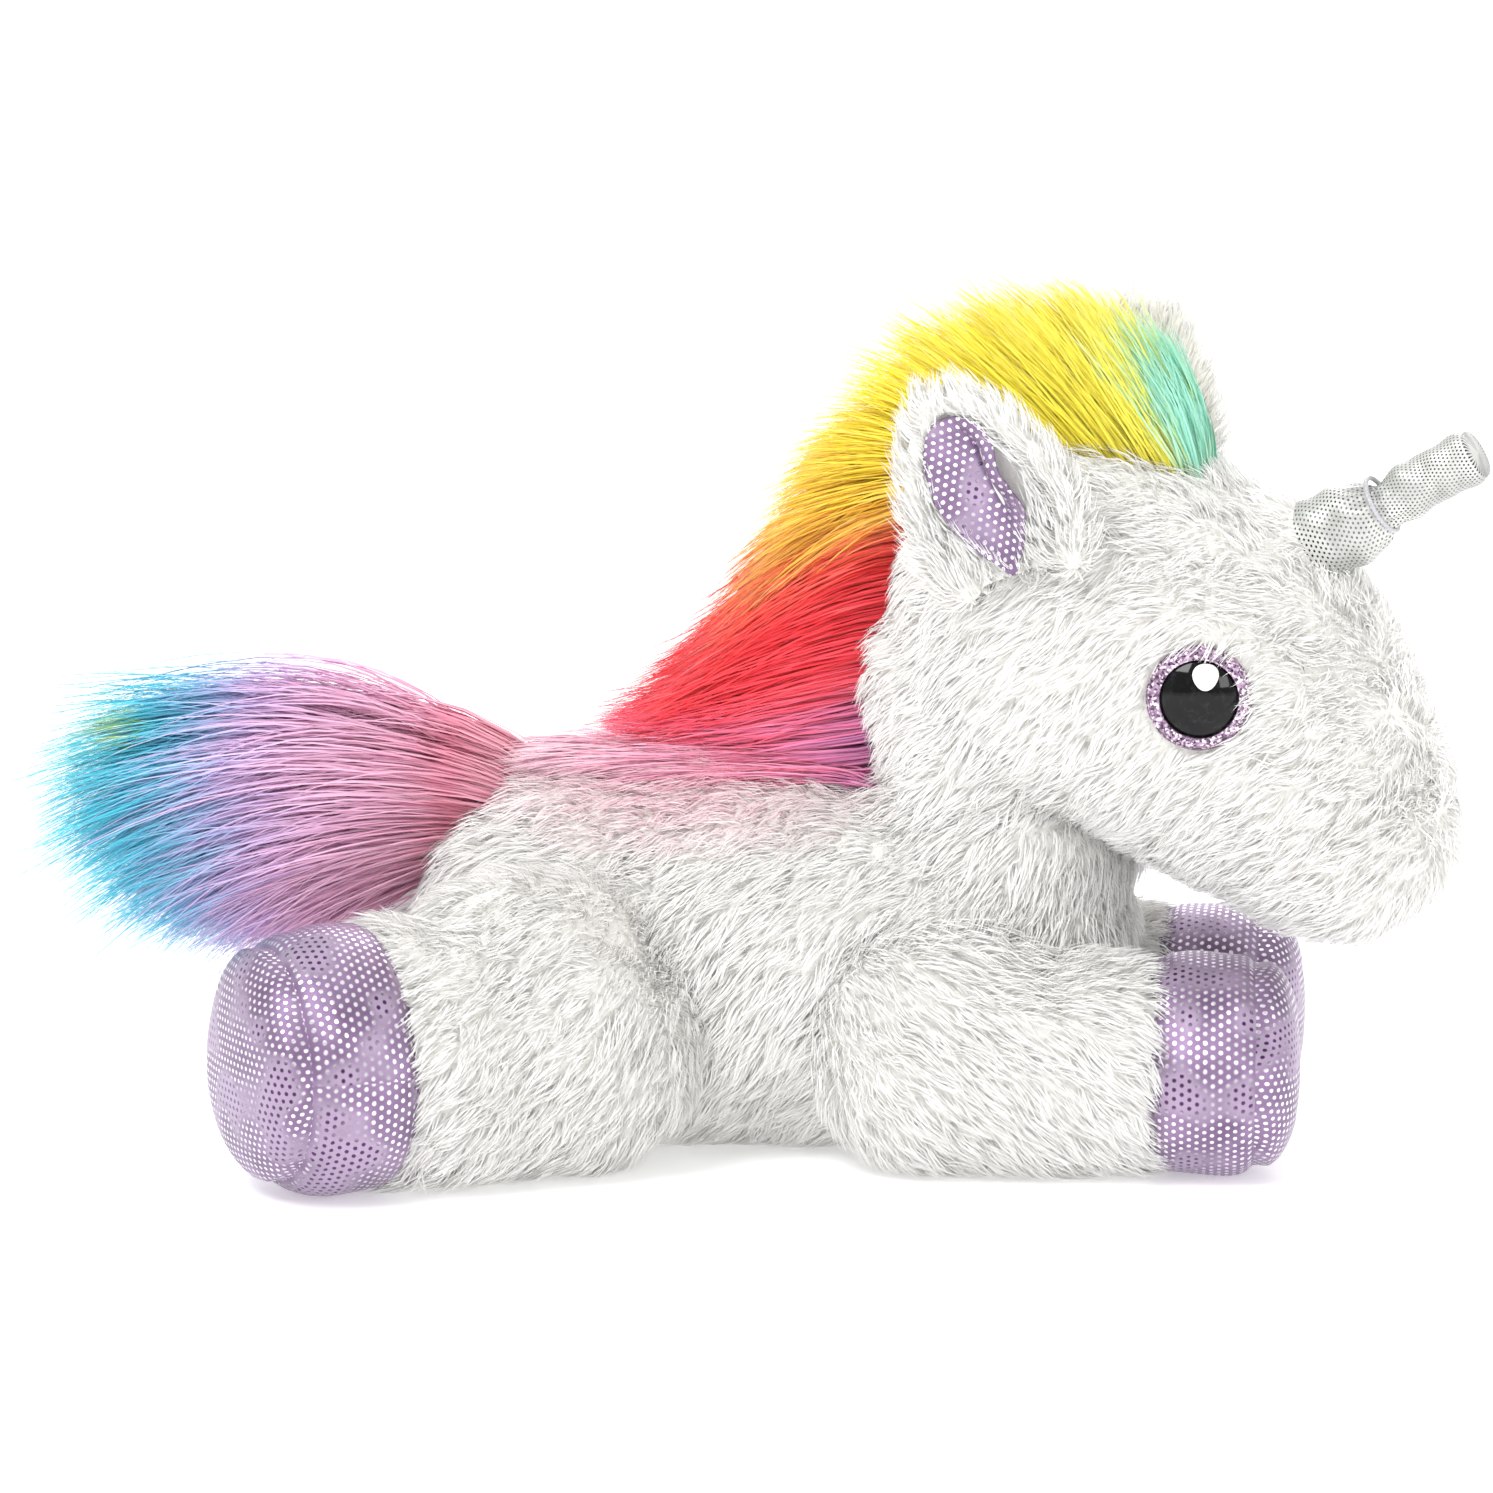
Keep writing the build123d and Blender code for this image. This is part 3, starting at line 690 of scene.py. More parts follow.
def outer_shell(obj):
    """Keeps only the outermost of several closed surfaces."""
    bm = bmesh.new()
    bm.from_mesh(obj.data)
    left, groups = set(bm.verts), []
    while left:
        group, front = set(), [left.pop()]
        while front:
            vert = front.pop()
            group.add(vert)
            around = {edge.other_vert(vert) for edge in vert.link_edges} & left
            left -= around
            front.extend(around)
        groups.append(group)
    biggest = max(groups, key=len)
    spare = [vert for group in groups if group is not biggest for vert in group]
    bmesh.ops.delete(bm, geom=spare, context="VERTS")
    bm.to_mesh(obj.data)
    bm.free()
    return obj


def inflate(obj, cap_mm, pressure=900.0, frames=20):
    """Fills a sewn form: cloth under pressure, no point moving further than the cap."""
    before = positions(obj)
    cloth = obj.modifiers.new("cloth", "CLOTH")
    cloth.settings.use_pressure = True
    cloth.settings.uniform_pressure_force = pressure
    cloth.settings.effector_weights.gravity = 0
    cloth.settings.mass = 0.05
    cloth.settings.tension_stiffness = 25
    cloth.settings.compression_stiffness = 25
    cloth.settings.bending_stiffness = 0.3
    cloth.point_cache.frame_start = 1
    cloth.point_cache.frame_end = frames
    for step in range(1, frames + 1):
        bpy.context.scene.frame_set(step)
    apply_modifiers(obj)
    moved = positions(obj) - before
    length = np.linalg.norm(moved, axis=1, keepdims=True)
    move_to(obj, before + moved * np.minimum(1.0, cap_mm * MM / np.maximum(length, 1e-9)))
    bpy.context.scene.frame_set(1)
    return obj


def torso_skin():
    """The body, with the base of the neck, the shoulders and the haunches on it."""
    parts = [hull(node_points("torso_cover")[::6]), lump(NECK, 31, 30, 20)]
    for word, side in SIDES:
        shoulder = leg_frame("front", word)[0] + np.array([-6, -side * 5, 13]) * MM
        haunch = leg_frame("rear", word)[0] + np.array([2, -side * 9, 6]) * MM
        parts += [lump(shoulder, 25, 15, 29), lump(haunch, 29, 18, 29)]
    skin = inflate(soften("torso_fur", parts, 3.0, 14), 2.0)
    return rest_on_floor(tuft(skin, 0.9, 26, 11))


def head_skin():
    """The head, with the neck, the horn's foot and the brows round the eyes."""
    parts = [copy_of("head_cover"), copy_of("head_filling"), lump(NECK, 24)]
    parts.append(lump(HORN - HORN_AHEAD * 5 * MM, 11))
    for seat, out, _, _ in EYES.values():
        parts.append(lump(seat - out * 8 * MM, 8.5))
    skin = inflate(outer_shell(soften("head_fur", parts)), 1.5)
    return shape_face(tuft(skin, 0.8, 22, 21))


EYE_SEAT = 11.5  # radius of the flat that an eye sits on
EYE_RIM = 14.5  # radius at which the pile round an eye has risen again


def shape_face(skin):
    """Sinks the eyes' seats and the crease between muzzle and cheek."""
    points = positions(skin)
    normals = vertex_normals(skin)
    for seat, out, _, _ in EYES.values():
        height, away = from_axis(points, seat, out)
        press = np.clip((EYE_RIM - away / MM) / 4.0, 0, 1) * (np.abs(height) < 9 * MM)
        target = np.where(away < EYE_SEAT * MM, -0.9 * MM, 0.0)
        points -= out * (np.maximum(height - target, 0) * press)[:, None]
    x, y, z = to_head(points).T
    mouth = bell(x + 0.5 * z, 87, 3)
    mouth *= np.clip((14 - np.abs(z - 2)) / 6, 0, 1) * (np.abs(y) > 9)
    return move_to(skin, points - normals * (mouth * 1.4 * MM)[:, None])


def leg_skin(limb, word, side):
    """A leg with the round joint it turns on."""
    pivot, ahead, _ = leg_frame(limb, word)
    forward, rise, radii, seed = (8, 4, (30, 25, 30), 41) if limb == "rear" else (2, 6, (26, 20, 25), 31)
    joint = lump(pivot + ahead * forward * MM + UP * rise * MM, *radii)
    skin = soften(f"{limb}_leg_fur_{word}", [hull(node_points(f"{limb}_leg_cover_{word}")[::4]), joint])
    return rest_on_floor(tuft(inflate(skin, 1.2), 0.7, 20, seed + 2 * side))


def torso_lay(at, out):
    """Pile on the body is brushed back and down."""
    flow = np.tile([-0.75, 0.0, -0.75], (len(at), 1))
    flow[:, 2] -= 0.25 * np.abs(out[:, 1])
    return flow


def head_lay(at, out):
    """Pile on the head runs back from the nose and down the cheeks."""
    back = np.clip((90 - to_head(at)[:, 0]) / 60, 0.3, 1.0)[:, None]
    return -HEAD_FORWARD * (0.55 + 0.2 * back) - HEAD_UP * (0.75 * back)


def clear_of_eyes(at, out):
    """Keeps pile off the eyes and the horn's foot."""
    free = np.linalg.norm(at - HORN - HORN_AHEAD * 4 * MM, axis=1) > 8.2 * MM
    for seat, facing, _, _ in EYES.values():
        height, away = from_axis(at, seat, facing)
        free &= (away > 10.9 * MM) | (np.abs(height) > 12 * MM)
    return free


def off_floor(at, out):
    """Keeps pile off the underside, which the toy lies on."""
    return at[:, 2] > 1.2 * MM


def blush(at, rng):
    """Place of a strand in the white pile's map: pink where the mane's dye strayed onto the back."""
    x, _, z = (at / MM).T
    near = bell(x, -2, 34) * np.clip((z - 62) / 16, 0, 1)
    pink = np.clip(near * rng.uniform(0.25, 1.0, len(at)), 0, 1)
    return np.where(pink > 0.1, 0.5 + 0.48 * pink, white_shades(at, rng))


# --- hooves ---
HOOF_SIDES = 96
SEAM_DEPTH = 1.7
HOOF_MARGIN = 0.9  # how far the foil stands off the hoof in the frame


def hoof(limb, word, side):
    """The hoof's wrapped band and its oval sole, as two pieces that meet in a sunk seam."""
    pivot, ahead, across = leg_frame(limb, word)
    band = node_points(f"{limb}_hoof_band_{word}")
    sole = node_points(f"{limb}_hoof_sole_{word}")
    along = (band - pivot) @ ahead / MM
    start, seam, tip = along.min(), along.max(), ((sole - pivot) @ ahead).max() / MM
    stations = np.linspace(start + 0.5, tip - 0.6, 40)
    reach = reach_across(np.concatenate([band, sole]), pivot, ahead, stations * MM) / MM
    rim = np.interp(seam, stations, reach)
    turn = angles(HOOF_SIDES)
    height = np.sin(turn)
    narrow = 1 - 0.09 * height  # narrower at the top, widest low down
    pinch_at = bell(turn, 0.5 * math.pi - side * 1.1, 0.22)

    cuff = [(start - 4, 0.86 * reach[0]), (start - 2.5, 0.95 * reach[0]), (start - 0.8, reach[0] + 0.3)]
    wall = [(t, np.interp(t, stations, reach) + HOOF_MARGIN) for t in np.linspace(start + 0.8, seam, 26)]
    share = np.linspace(1.0, 0.0, 30)
    swell = np.sqrt(np.maximum(1 - share**2.6, 0))
    dome = [(seam + (tip - seam) * s, rim * q + HOOF_MARGIN * (q > 0.5)) for q, s in zip(share, swell)]
    pieces = []
    for kind, line in (("band", cuff + wall), ("sole", dome)):
        lengths = [math.dist(one, two) for one, two in zip(line, line[1:])]
        from_start = np.append(0.0, np.cumsum(lengths))
        rows, maps = [], []
        for (place, radius), run in zip(line, from_start):
            off = abs(place - seam) + abs(radius - rim) * (kind == "sole")
            sunk = SEAM_DEPTH * bell(off, 0, 1.5)
            pucker = 0.16 * bell(off, 2.2, 2.2) * np.sin(turn * 17 + 1.7 * np.sin(turn * 5))
            pinch = 1.5 * pinch_at * bell(off, 3, 5.5)
            folds = 0.45 * np.sin(turn * 3 + place * 0.22 + side) * bell(off, 8, 7)
            r = radius + (pucker + folds - pinch - sunk * 0.8) * (radius > 3)
            x = place - sunk * 0.5 * (kind == "sole")
            ring = across * (np.cos(turn) * r * narrow)[:, None] + UP * (height * r)[:, None]
            rows.append(pivot + (ahead * x + ring) * MM)
            if kind == "band":
                maps.append(np.stack([turn * (rim + 1), np.full(HOOF_SIDES, run)], 1))
            else:
                maps.append(np.stack([np.cos(turn), height], 1) * (from_start[-1] - run))
        rows = np.array(rows)
        rows[:, :, 2] = np.maximum(rows[:, :, 2], 0.4 * MM)
        wrap = FULL_TURN * (rim + 1) if kind == "band" else 0.0
        pieces.append(grid_mesh(f"{limb}_hoof_{kind}_foil_{word}", rows, np.array(maps), True, wrap))
    return pieces


# --- ears ---
LINING_LEAF = [(0.0, 0.06), (0.15, 0.48), (0.35, 0.88), (0.55, 1.0), (0.78, 0.90), (0.93, 0.58), (1.0, 0.2)]
LINING_HALF_WIDTH = 9.6
LINING_DROP = 1.5 * MM  # how far the lining starts below its node
RIM_RADIUS = 2.7
FOLD_AT = 0.58  # how far up the lining its front edge folds over


def lining_leaf(word, places):
    """Half width of an ear's lining at each distance up the ear, in metres."""
    foot, along, _, _ = ear_frame(word)
    reach = (node_points(f"ear_lining_{word}") - foot) @ along
    share = (places - reach.min() + LINING_DROP) / (np.ptp(reach) + LINING_DROP)
    stations, widths = np.array(LINING_LEAF).T
    return np.interp(share, stations, widths, left=0, right=0) * LINING_HALF_WIDTH * MM


def ear_skin(word):
    """Fur back of an ear with a thick rim that stands round the lining."""
    foot, along, across, face = ear_frame(word)
    back = node_points(f"ear_back_{word}")
    rim_at = np.linspace(0.0, 0.97, 17) * ((back - foot) @ along).max()
    width = np.maximum(reach_across(back, foot, along, rim_at, across) - 1.5 * MM, 0.8 * MM)
    parts = [hull(back[::4])]
    for place, half in zip(rim_at, width):
        for edge in (-half, half):
            parts.append(lump(foot + along * place + across * edge + face * 0.6 * MM, RIM_RADIUS))
    return soften(f"ear_fur_{word}", parts, 1.5, 4)


def ear_lining(word, side):
    """Foil leaf cupped inside the rim, its front edge folded over half way up."""
    foot, along, across, face = ear_frame(word)
    reach = (node_points(f"ear_lining_{word}") - foot) @ along
    places = np.linspace(reach.min() - LINING_DROP, reach.max(), 46)
    over = np.linspace(-1, 1, 41)
    front = over * side
    rows, maps = [], []
    for place, width in zip(places, lining_leaf(word, places)):
        share = np.clip((place - reach.min()) / np.ptp(reach), 0, 1)
        fold_here = bell(share, FOLD_AT, 0.2)
        fold = fold_here * np.clip((front - 0.42) / 0.3, 0, 1)
        cup = 2.6 * (1 - over**2) * math.sin(math.pi * min(share * 1.1, 1.0)) ** 0.5
        crease = 3.2 * fold_here * bell(front, 0.36, 0.10)
        lift = 3.2 - cup + 2.2 * fold - crease
        x = over * width - side * fold * 2.6 * MM
        rows.append(foot + along * place + across * x[:, None] + face * (lift * MM)[:, None])
        maps.append(np.stack([over * width / MM, np.full_like(over, place / MM)], 1))
    sheet = grid_mesh(f"ear_foil_{word}", np.array(rows), np.array(maps))
    return modify(sheet, "SOLIDIFY", thickness=0.5 * MM, offset=-1.0)


def beside_lining(word):
    """Keeps pile off the lining."""
    foot, along, across, face = ear_frame(word)

    def keep(at, out):
        offset = at - foot
        aside = np.abs(offset @ across) >= lining_leaf(word, offset @ along) - 0.2 * MM
        return aside | (offset @ face <= 0.5 * MM)

    return keep


# --- horn ---
HORN_SIDES = 72
HORN_MAP_RADIUS = 6.5  # the lame is laid out as if round a tube of this radius


def horn_skin():
    """Stuffed horn: a plump foot with a flared lip, a tied waist and a thin rounded end."""
    top = unit(np.cross(HORN_AHEAD, HEAD_LEFT))
    top = top * np.sign(top[2])
    length = HORN_LENGTH / MM
    waist = (np.mean(box("horn_thread"), axis=0) - HORN) @ HORN_AHEAD / MM
    stations = np.linspace(0, length - 0.4, 70)
    reach = reach_across(horn_points, HORN, HORN_AHEAD, stations * MM) / MM
    turn = angles(HORN_SIDES)
    up = np.sin(turn)
    rows, maps = [], []
    for place, radius in list(zip(stations, reach))[1:] + [(length - 0.05, 0.0)]:
        tie = bell(place, waist, 1.7)
        near = bell(place, waist, 5)
        pleats = 0.34 * near * np.sin(turn * 11 + 0.6 * np.sin(turn * 3)) * (radius > 2)
        crush = 1.6 * near * bell(turn, math.pi / 2, 0.8)
        belly = 1.1 * bell(place, waist * 0.55, 5.5) * np.clip(-up, 0, 1)
        lip = 1.2 * bell(place, 0, 2.4) * np.clip(0.3 - up, 0, 1)
        drape = 0.22 * np.sin(place * 0.9 + 3 * np.cos(turn)) * (radius > 3)
        plump = 0.45 * np.clip((place - waist - 3) / 4, 0, 1) * (radius > 1.5)
        r = np.maximum(radius + pleats - crush - 0.55 * tie + belly + lip + drape + plump, 0.0) * (radius > 0)
        ring = HEAD_LEFT * (np.cos(turn) * r)[:, None] + top * (up * r)[:, None]
        rows.append(HORN + (HORN_AHEAD * place + ring) * MM)
        maps.append(np.stack([turn * HORN_MAP_RADIUS, np.full(HORN_SIDES, place)], 1))
    return grid_mesh("horn_lame", np.array(rows), np.array(maps), True, FULL_TURN * HORN_MAP_RADIUS)


# --- eyes ---
def eye_glint(word, side):
    """Small pearly spot of painted highlight high on the pupil, where it meets the glitter ring."""
    seat, out, right, up = EYES[word]
    height, away = from_axis(node_points(f"eye_dome_{word}"), seat, out)
    reach = away[height > 0.5 * MM].max()
    spots = np.linspace(0, reach, 24)
    tops = np.array([height[(height > 0) & (np.abs(away - s) < 0.5 * MM)].max(initial=0) for s in spots])
    tops = np.maximum.accumulate(tops[::-1])[::-1]
    turn = angles(32)
    rings = []
    for share in np.linspace(1, 0, 8):
        radius = share * (0.33 * reach) * (1 + 0.05 * np.sin(turn * 3))
        x = np.cos(turn) * radius - 0.16 * side * reach
        y = np.sin(turn) * radius + 0.60 * reach
        h = np.interp(np.hypot(x, y), spots, tops) + (0.22 if share < 1 else 0.02) * MM
        rings.append(seat + right * x[:, None] + up * y[:, None] + out * h[:, None])
    rings = np.array(rings)
    return grid_mesh(f"eye_glint_{word}", rings, np.zeros(rings.shape[:2] + (2,)), True)


# --- mane and tail ---
# Stations down the mane, in the head's own frame: place in the dye, x and z of the roots on the
# mid-line, x and z of the tips, half width.
MANE = np.array([
    (0.00, 49, 80.5, 40, 108, 7),
    (0.10, 40, 83, 20, 119, 10),
    (0.22, 26, 85, -2, 116, 12),
    (0.34, 10, 84.5, -24, 106, 13),
    (0.46, -5, 81.5, -44, 80, 14),
    (0.56, -15, 74, -56, 56, 15),
    (0.66, -22, 62, -66, 42, 15.5),
    (0.76, -26, 46, -78, 30, 16),
    (0.85, -27, 32, -88, 22, 16),
    (0.94, -24, 15, -88, 18, 17),
])
FORELOCK_SPLIT = 0.38  # place in the dye where the forelock meets the crest
CREST_SPLIT = 0.62  # place in the dye where the hair on the head meets the hair on the neck
MANE_STEP = 0.01
DYE_JITTER = 0.012
LOCK_GATHER = 0.8  # most that a tip is drawn to the middle tip of its lock
TRIM = 0.75  # share of a stray hair's overreach that is cut off


def strand_count(count):
    return count


def flock(name, roots, tips, out, spread, tint, seed, arch, sag, steps=8, clump_mm=5.0):
    """Long strands from roots to tips that arch outwards first and gather into locks."""
    rng = np.random.default_rng(seed)
    count = len(roots)
    length = np.linalg.norm(tips - roots, axis=1, keepdims=True)
    centre, lean = clumps(roots, clump_mm, rng)
    lock = np.unique(np.round(centre, 6), axis=0, return_inverse=True)[1].reshape(-1)
    lock_tip = group_means(lock, tips) + lean * 0.05 * length
    pull = LOCK_GATHER * rng.uniform(0.3, 1.0, (count, 1))
    tips = tips * (1 - pull) + lock_tip * pull + rng.normal(size=(count, 3)) * spread * MM
    tips = roots + (tips - roots) * rng.uniform(0.62, 1.06, (count, 1))
    ahead = unit(tips - roots)
    first = roots + length * (out * arch * 0.55 + ahead * 0.12)
    second = roots + (tips - roots) * 0.62 + length * (out * arch * 0.30 - UP * sag * 0.3)
    rows = bezier(roots, first, second, tips - UP * length * sag, steps)
    wave = np.sin(rng.uniform(0, FULL_TURN, (count, 1)) + np.linspace(0, 5, steps))
    sway = wave * np.linspace(0, 1, steps) * 0.9 * MM
    rows = rows + unit(np.cross(ahead, out))[:, None, :] * sway[:, :, None]
    # Stray hairs are trimmed so that the crest's top and the tail's end stay even.
    rows[:, :, 2] -= TRIM * np.maximum(rows[:, :, 2] - (cad_high[2] + 9 * MM), 0)
    rows[:, :, 0] += TRIM * np.maximum(cad_low[0] - 12 * MM - rows[:, :, 0], 0)
    widths = rng.uniform(0.30, 0.55, count) * MM
    dye = tint(rows, rng)
    # The map's y runs root to tip and drives the painted shade at the roots, a little different for each
    # strand.
    shade = np.linspace(0.05, 0.85, steps) * rng.uniform(0.7, 1.12, (count, 1))
    shade = shade + rng.uniform(-0.08, 0.12, (count, 1))
    return ribbons(name, rows, widths, out, dye, np.clip(shade, 0, 1), seed + 1)


def mane_at(dye):
    """The mane's stations at places in the dye, as one row for each column of the table."""
    return np.array([np.interp(dye, MANE[:, 0], column) for column in MANE[:, 1:].T])


def mane_strands(count, low, high, rng):
    """Roots, tips, outward directions and dye places for hair between two places in the dye."""
    dye = rng.uniform(low, high, count)
    across = rng.uniform(-1, 1, count)
    root_x, root_z, tip_x, tip_z, half = mane_at(dye)
    ahead_x, ahead_z = (mane_at(dye + MANE_STEP) - mane_at(dye - MANE_STEP))[:2]
    size = np.hypot(ahead_x, ahead_z)
    out_x, out_z = ahead_z / size, -ahead_x / size
    lean = across * 0.9
    out = np.stack([out_x * np.cos(lean), np.sin(lean), out_z * np.cos(lean)], 1)
    drop = half * across**2 * 0.42
    roots = np.stack([root_x - out_x * drop, across * half, root_z - out_z * drop], 1) - out * 2.0
    tip_y = across * half * 1.15 + rng.normal(size=count) * 1.5
    draw_in = np.abs(across) * 9
    tips = np.stack([tip_x - out_x * draw_in, tip_y, tip_z - out_z * draw_in], 1)
    return from_head(roots), from_head(tips), out @ HEAD_AXES, dye


def grow_mane(name, count, low, high, seed, arch, sag):
    """Hair between two places in the dye, rooted on the mid-line of the head and neck."""
    rng = np.random.default_rng(seed)
    count = strand_count(count)
    roots, tips, out, dye = mane_strands(count, low, high, rng)
    dye = dye + rng.normal(size=count) * DYE_JITTER

    def tint(rows, rng):
        return np.clip(dye[:, None] - 0.03 * np.linspace(0, 1, rows.shape[1]), 0, 1)

    return flock(name, roots, tips, out, 2.0, tint, seed + 50, arch, sag)


WITHERS_FRONT = 42
WITHERS_LENGTH = 60


def grow_withers(name, count, seed):
    """Last of the mane, lying back along the spine."""
    rng = np.random.default_rng(seed)
    count = strand_count(count)
    share = rng.uniform(0, 1, count)  # 0 is nearest the neck
    across = rng.uniform(-1, 1, count)
    y = across * np.interp(share, [0, 0.5, 1], [15, 13, 8])
    top = box("torso_cover")[1][2] / MM
    roots = np.stack([WITHERS_FRONT - WITHERS_LENGTH * share, y, top - 0.9 - 0.022 * y**2], 1) * MM
    reach = rng.uniform(24, 40, count) * np.interp(share, [0, 1], [1.15, 0.8])
    rise = 5.5 - 3.5 * share - 3 * np.abs(across)
    tips = roots + np.stack([-reach, across * 4 + rng.normal(size=count) * 2, rise], 1) * MM
    tips[:, 2] = np.maximum(tips[:, 2], (top - 0.02 * (tips[:, 1] / MM) ** 2 + 0.5) * MM)
    out = unit(np.stack([np.full(count, -0.25), across * 0.5, np.ones(count)], 1))

    def tint(rows, rng):
        dye = 0.9 + 0.1 * share[:, None] + rng.normal(size=(count, 1)) * DYE_JITTER
        return np.repeat(np.clip(dye, 0, 1), rows.shape[1], axis=1)

    return flock(name, roots, tips, out, 1.5, tint, seed + 50, 0.28, 0.02)


# The tail's ragged end from its lowest hair to its highest: share, x and z of the tips.
TAIL_END = np.array([
    (0.00, -95, 35),
    (0.15, -116, 37),
    (0.40, -146, 47),
    (0.70, -159, 69),
    (0.90, -154, 91),
    (1.00, -139, 101),
])
TAIL_SPOT = np.array([-124, -10, 86])  # middle of the green spot on the tail's side
TAIL_SPOT_RADII = np.array([8, 12, 5])
TAIL_TIP = 0.95  # places in the dye beyond the tips are the green spot


def sink_roots(roots, skin, chosen, depth_mm=1.5):
    """Moves the chosen roots that stand clear of a skin down onto it."""
    mesh = skin.data
    tree = BVHTree.FromPolygons([v.co for v in mesh.vertices], [tuple(p.vertices) for p in mesh.polygons])
    for number in np.flatnonzero(chosen):
        place, normal, _, _ = tree.find_nearest(Vector(roots[number]))
        if (Vector(roots[number]) - place).dot(normal) > 0:
            roots[number] = place - normal * depth_mm * MM
    return roots


def grow_tail(name, count, seed, rump):
    """Long pile on the tail's root: up and back, then drooping to ragged tips."""
    rng = np.random.default_rng(seed)
    count = strand_count(count)
    pivot = np.array(JOINTS["tail_wag"]["pos_m"])
    share = rng.random(count) ** 1.4  # how far along the backing a strand is rooted
    angle = rng.uniform(0, FULL_TURN, count)
    spread = np.sqrt(rng.uniform(0.1, 1.0, count)) * rng.uniform(0.86, 1.0, count)
    up, side = np.sin(angle) * spread, np.cos(angle) * spread
    y = side * np.interp(share, [0, 0.3, 1], [14, 12, 5])
    z = up * np.interp(share, [0, 0.3, 1], [19, 17, 6]) + 0.5
    lean = 11.0 * up * np.interp(share, [0, 0.5], [1, 0])  # the sewn edge slopes back as it goes down
    ragged = rng.uniform(-3.5, 3.5, count) + 4.0 * rng.random(count) ** 4
    roots = pivot + np.stack([12.5 - 34 * share + lean + ragged, y, z], 1) * MM
    roots = sink_roots(roots, rump, share < 0.3)
    place = np.clip(up * 0.55 + 0.5 + rng.normal(size=count) * 0.08, 0, 1)
    tip_x, tip_z = (np.interp(place, TAIL_END[:, 0], column) for column in TAIL_END[:, 1:].T)
    reach = np.interp(share, [0, 1], [0.86, 1.0]) * rng.uniform(0.72, 1.03, count)
    tips = np.stack([tip_x, side * np.interp(reach, [0.7, 1], [15, 9]), tip_z], 1) * MM
    tips = roots + (tips - roots) * reach[:, None]
    out = unit(np.stack([np.full(count, -0.8), side * 0.7, up * 0.8 + 0.35], 1))
    start = pivot[0] + 14 * MM
    length = start - box("tail_pile")[0][0]

    def tint(rows, rng):
        away = (start - rows[:, :, 0]) / length
        stray = rng.normal(size=(count, 1)) * 0.05 + 0.10 * wobble(rows[:, 0], 14, 77)[:, None]
        streak = (rng.random((count, 1)) < 0.12) * rng.uniform(-0.35, -0.05, (count, 1))
        dye = np.clip(away * (1 + stray + streak), 0, 1) * TAIL_TIP
        from_spot = np.linalg.norm((rows / MM - TAIL_SPOT) / TAIL_SPOT_RADII, axis=2)
        spotted = (from_spot < 1) & (rng.random((count, 1)) < 0.5)
        return np.where(spotted, rng.uniform(0.98, 0.995, (count, 1)), dye)

    return flock(name, roots, tips, out, 4.2, tint, seed + 50, 0.46, 0.07, 9, 4.0)


# --- dressing the bodies ---
MANE_DYES = [
    (0.00, "8FE3D8"), (0.014, "C4F0C6"), (0.04, "FCF25C"), (0.34, "FDEA38"),
    (0.47, "FFD345"), (0.555, "FFB057"), (0.60, "FD6250"), (0.68, "FC4048"),
    (0.80, "FD4757"), (0.87, "F97A9A"), (0.94, "F8ACCA"), (1.00, "FCDDE7"),
]
TAIL_DYES = [
    (0.00, "F6B4C4"), (0.06, "F39DB6"), (0.14, "F3B6D0"), (0.34, "EEC0E1"),
    (0.46, "DCC1EC"), (0.57, "A6CCEF"), (0.66, "58CAE3"), (0.82, "4ACFE0"),
    (0.91, "A4E6E4"), (0.95, "F2FBF6"), (0.98, "B9DB8A"), (1.00, "A6D06C"),
]
# The second colour is the painted shade at the roots of the white pile.
white_fur = make_fur("white_pile", "FBFAF8", "EFEEEA", "F6AFC8")
white_skin = make_skin("white_backing", "F4F3EF")
# In each foil the third colour lightens the weave and paints the sheen patches; the last colour is the dots'
# painted dark reflection.
purple_foil = make_foil("mauve_dot_foil", "8E7299", "5B3A66", "CBBCD1", 1.8, 0.98, "F4F1F7", "5B3A66")
horn_cloth = make_foil("silver_lame", "CDCECA", "A9AAA7", "EFEFEB", 0.95, 0.55, "707073", "26262A", 0.5)
mane_dye = make_rainbow("mane_pile", MANE_DYES, stain=("C886CF", 0.90, 0.06))
tail_dye = make_rainbow("tail_pile_dye", TAIL_DYES)
DENSITY = 1.75  # strands of white pile per square millimetre
EAR_DENSITY = 2.2
EAR_FAN = 80 * MM  # how gently the pile on an ear fans out from its foot


def dress_fur(skin, pile, body, cover):
    dress(skin, white_skin, body, [cover])
    dress(pile, white_fur, body)


def dress_foil(piece, body, node):
    dress(piece, purple_foil, body, [node])


def grow_leg(limb, word, side):
    """Fur and hoof of one leg, its pile brushed down towards the hoof."""
    body = f"{limb}_leg_{word}"
    pivot, ahead, _ = leg_frame(limb, word)
    hoof_start = ((node_points(f"{limb}_hoof_band_{word}") - pivot) @ ahead).min()

    def lay(at, out):
        return np.tile(ahead * 0.7 - UP * 0.55, (len(at), 1))

    def keep(at, out):
        return off_floor(at, out) & ((at - pivot) @ ahead < hoof_start - 1.2 * MM)

    skin = leg_skin(limb, word, side)
    seed = (115 if limb == "rear" else 110) + side
    pile = grow_fur(f"{body}_pile", skin, DENSITY, 7.5, lay, seed, keep)
    dress_fur(skin, pile, body, f"{limb}_leg_cover_{word}")
    for piece, kind in zip(hoof(limb, word, side), ("band", "sole")):
        dress_foil(piece, body, f"{limb}_hoof_{kind}_{word}")


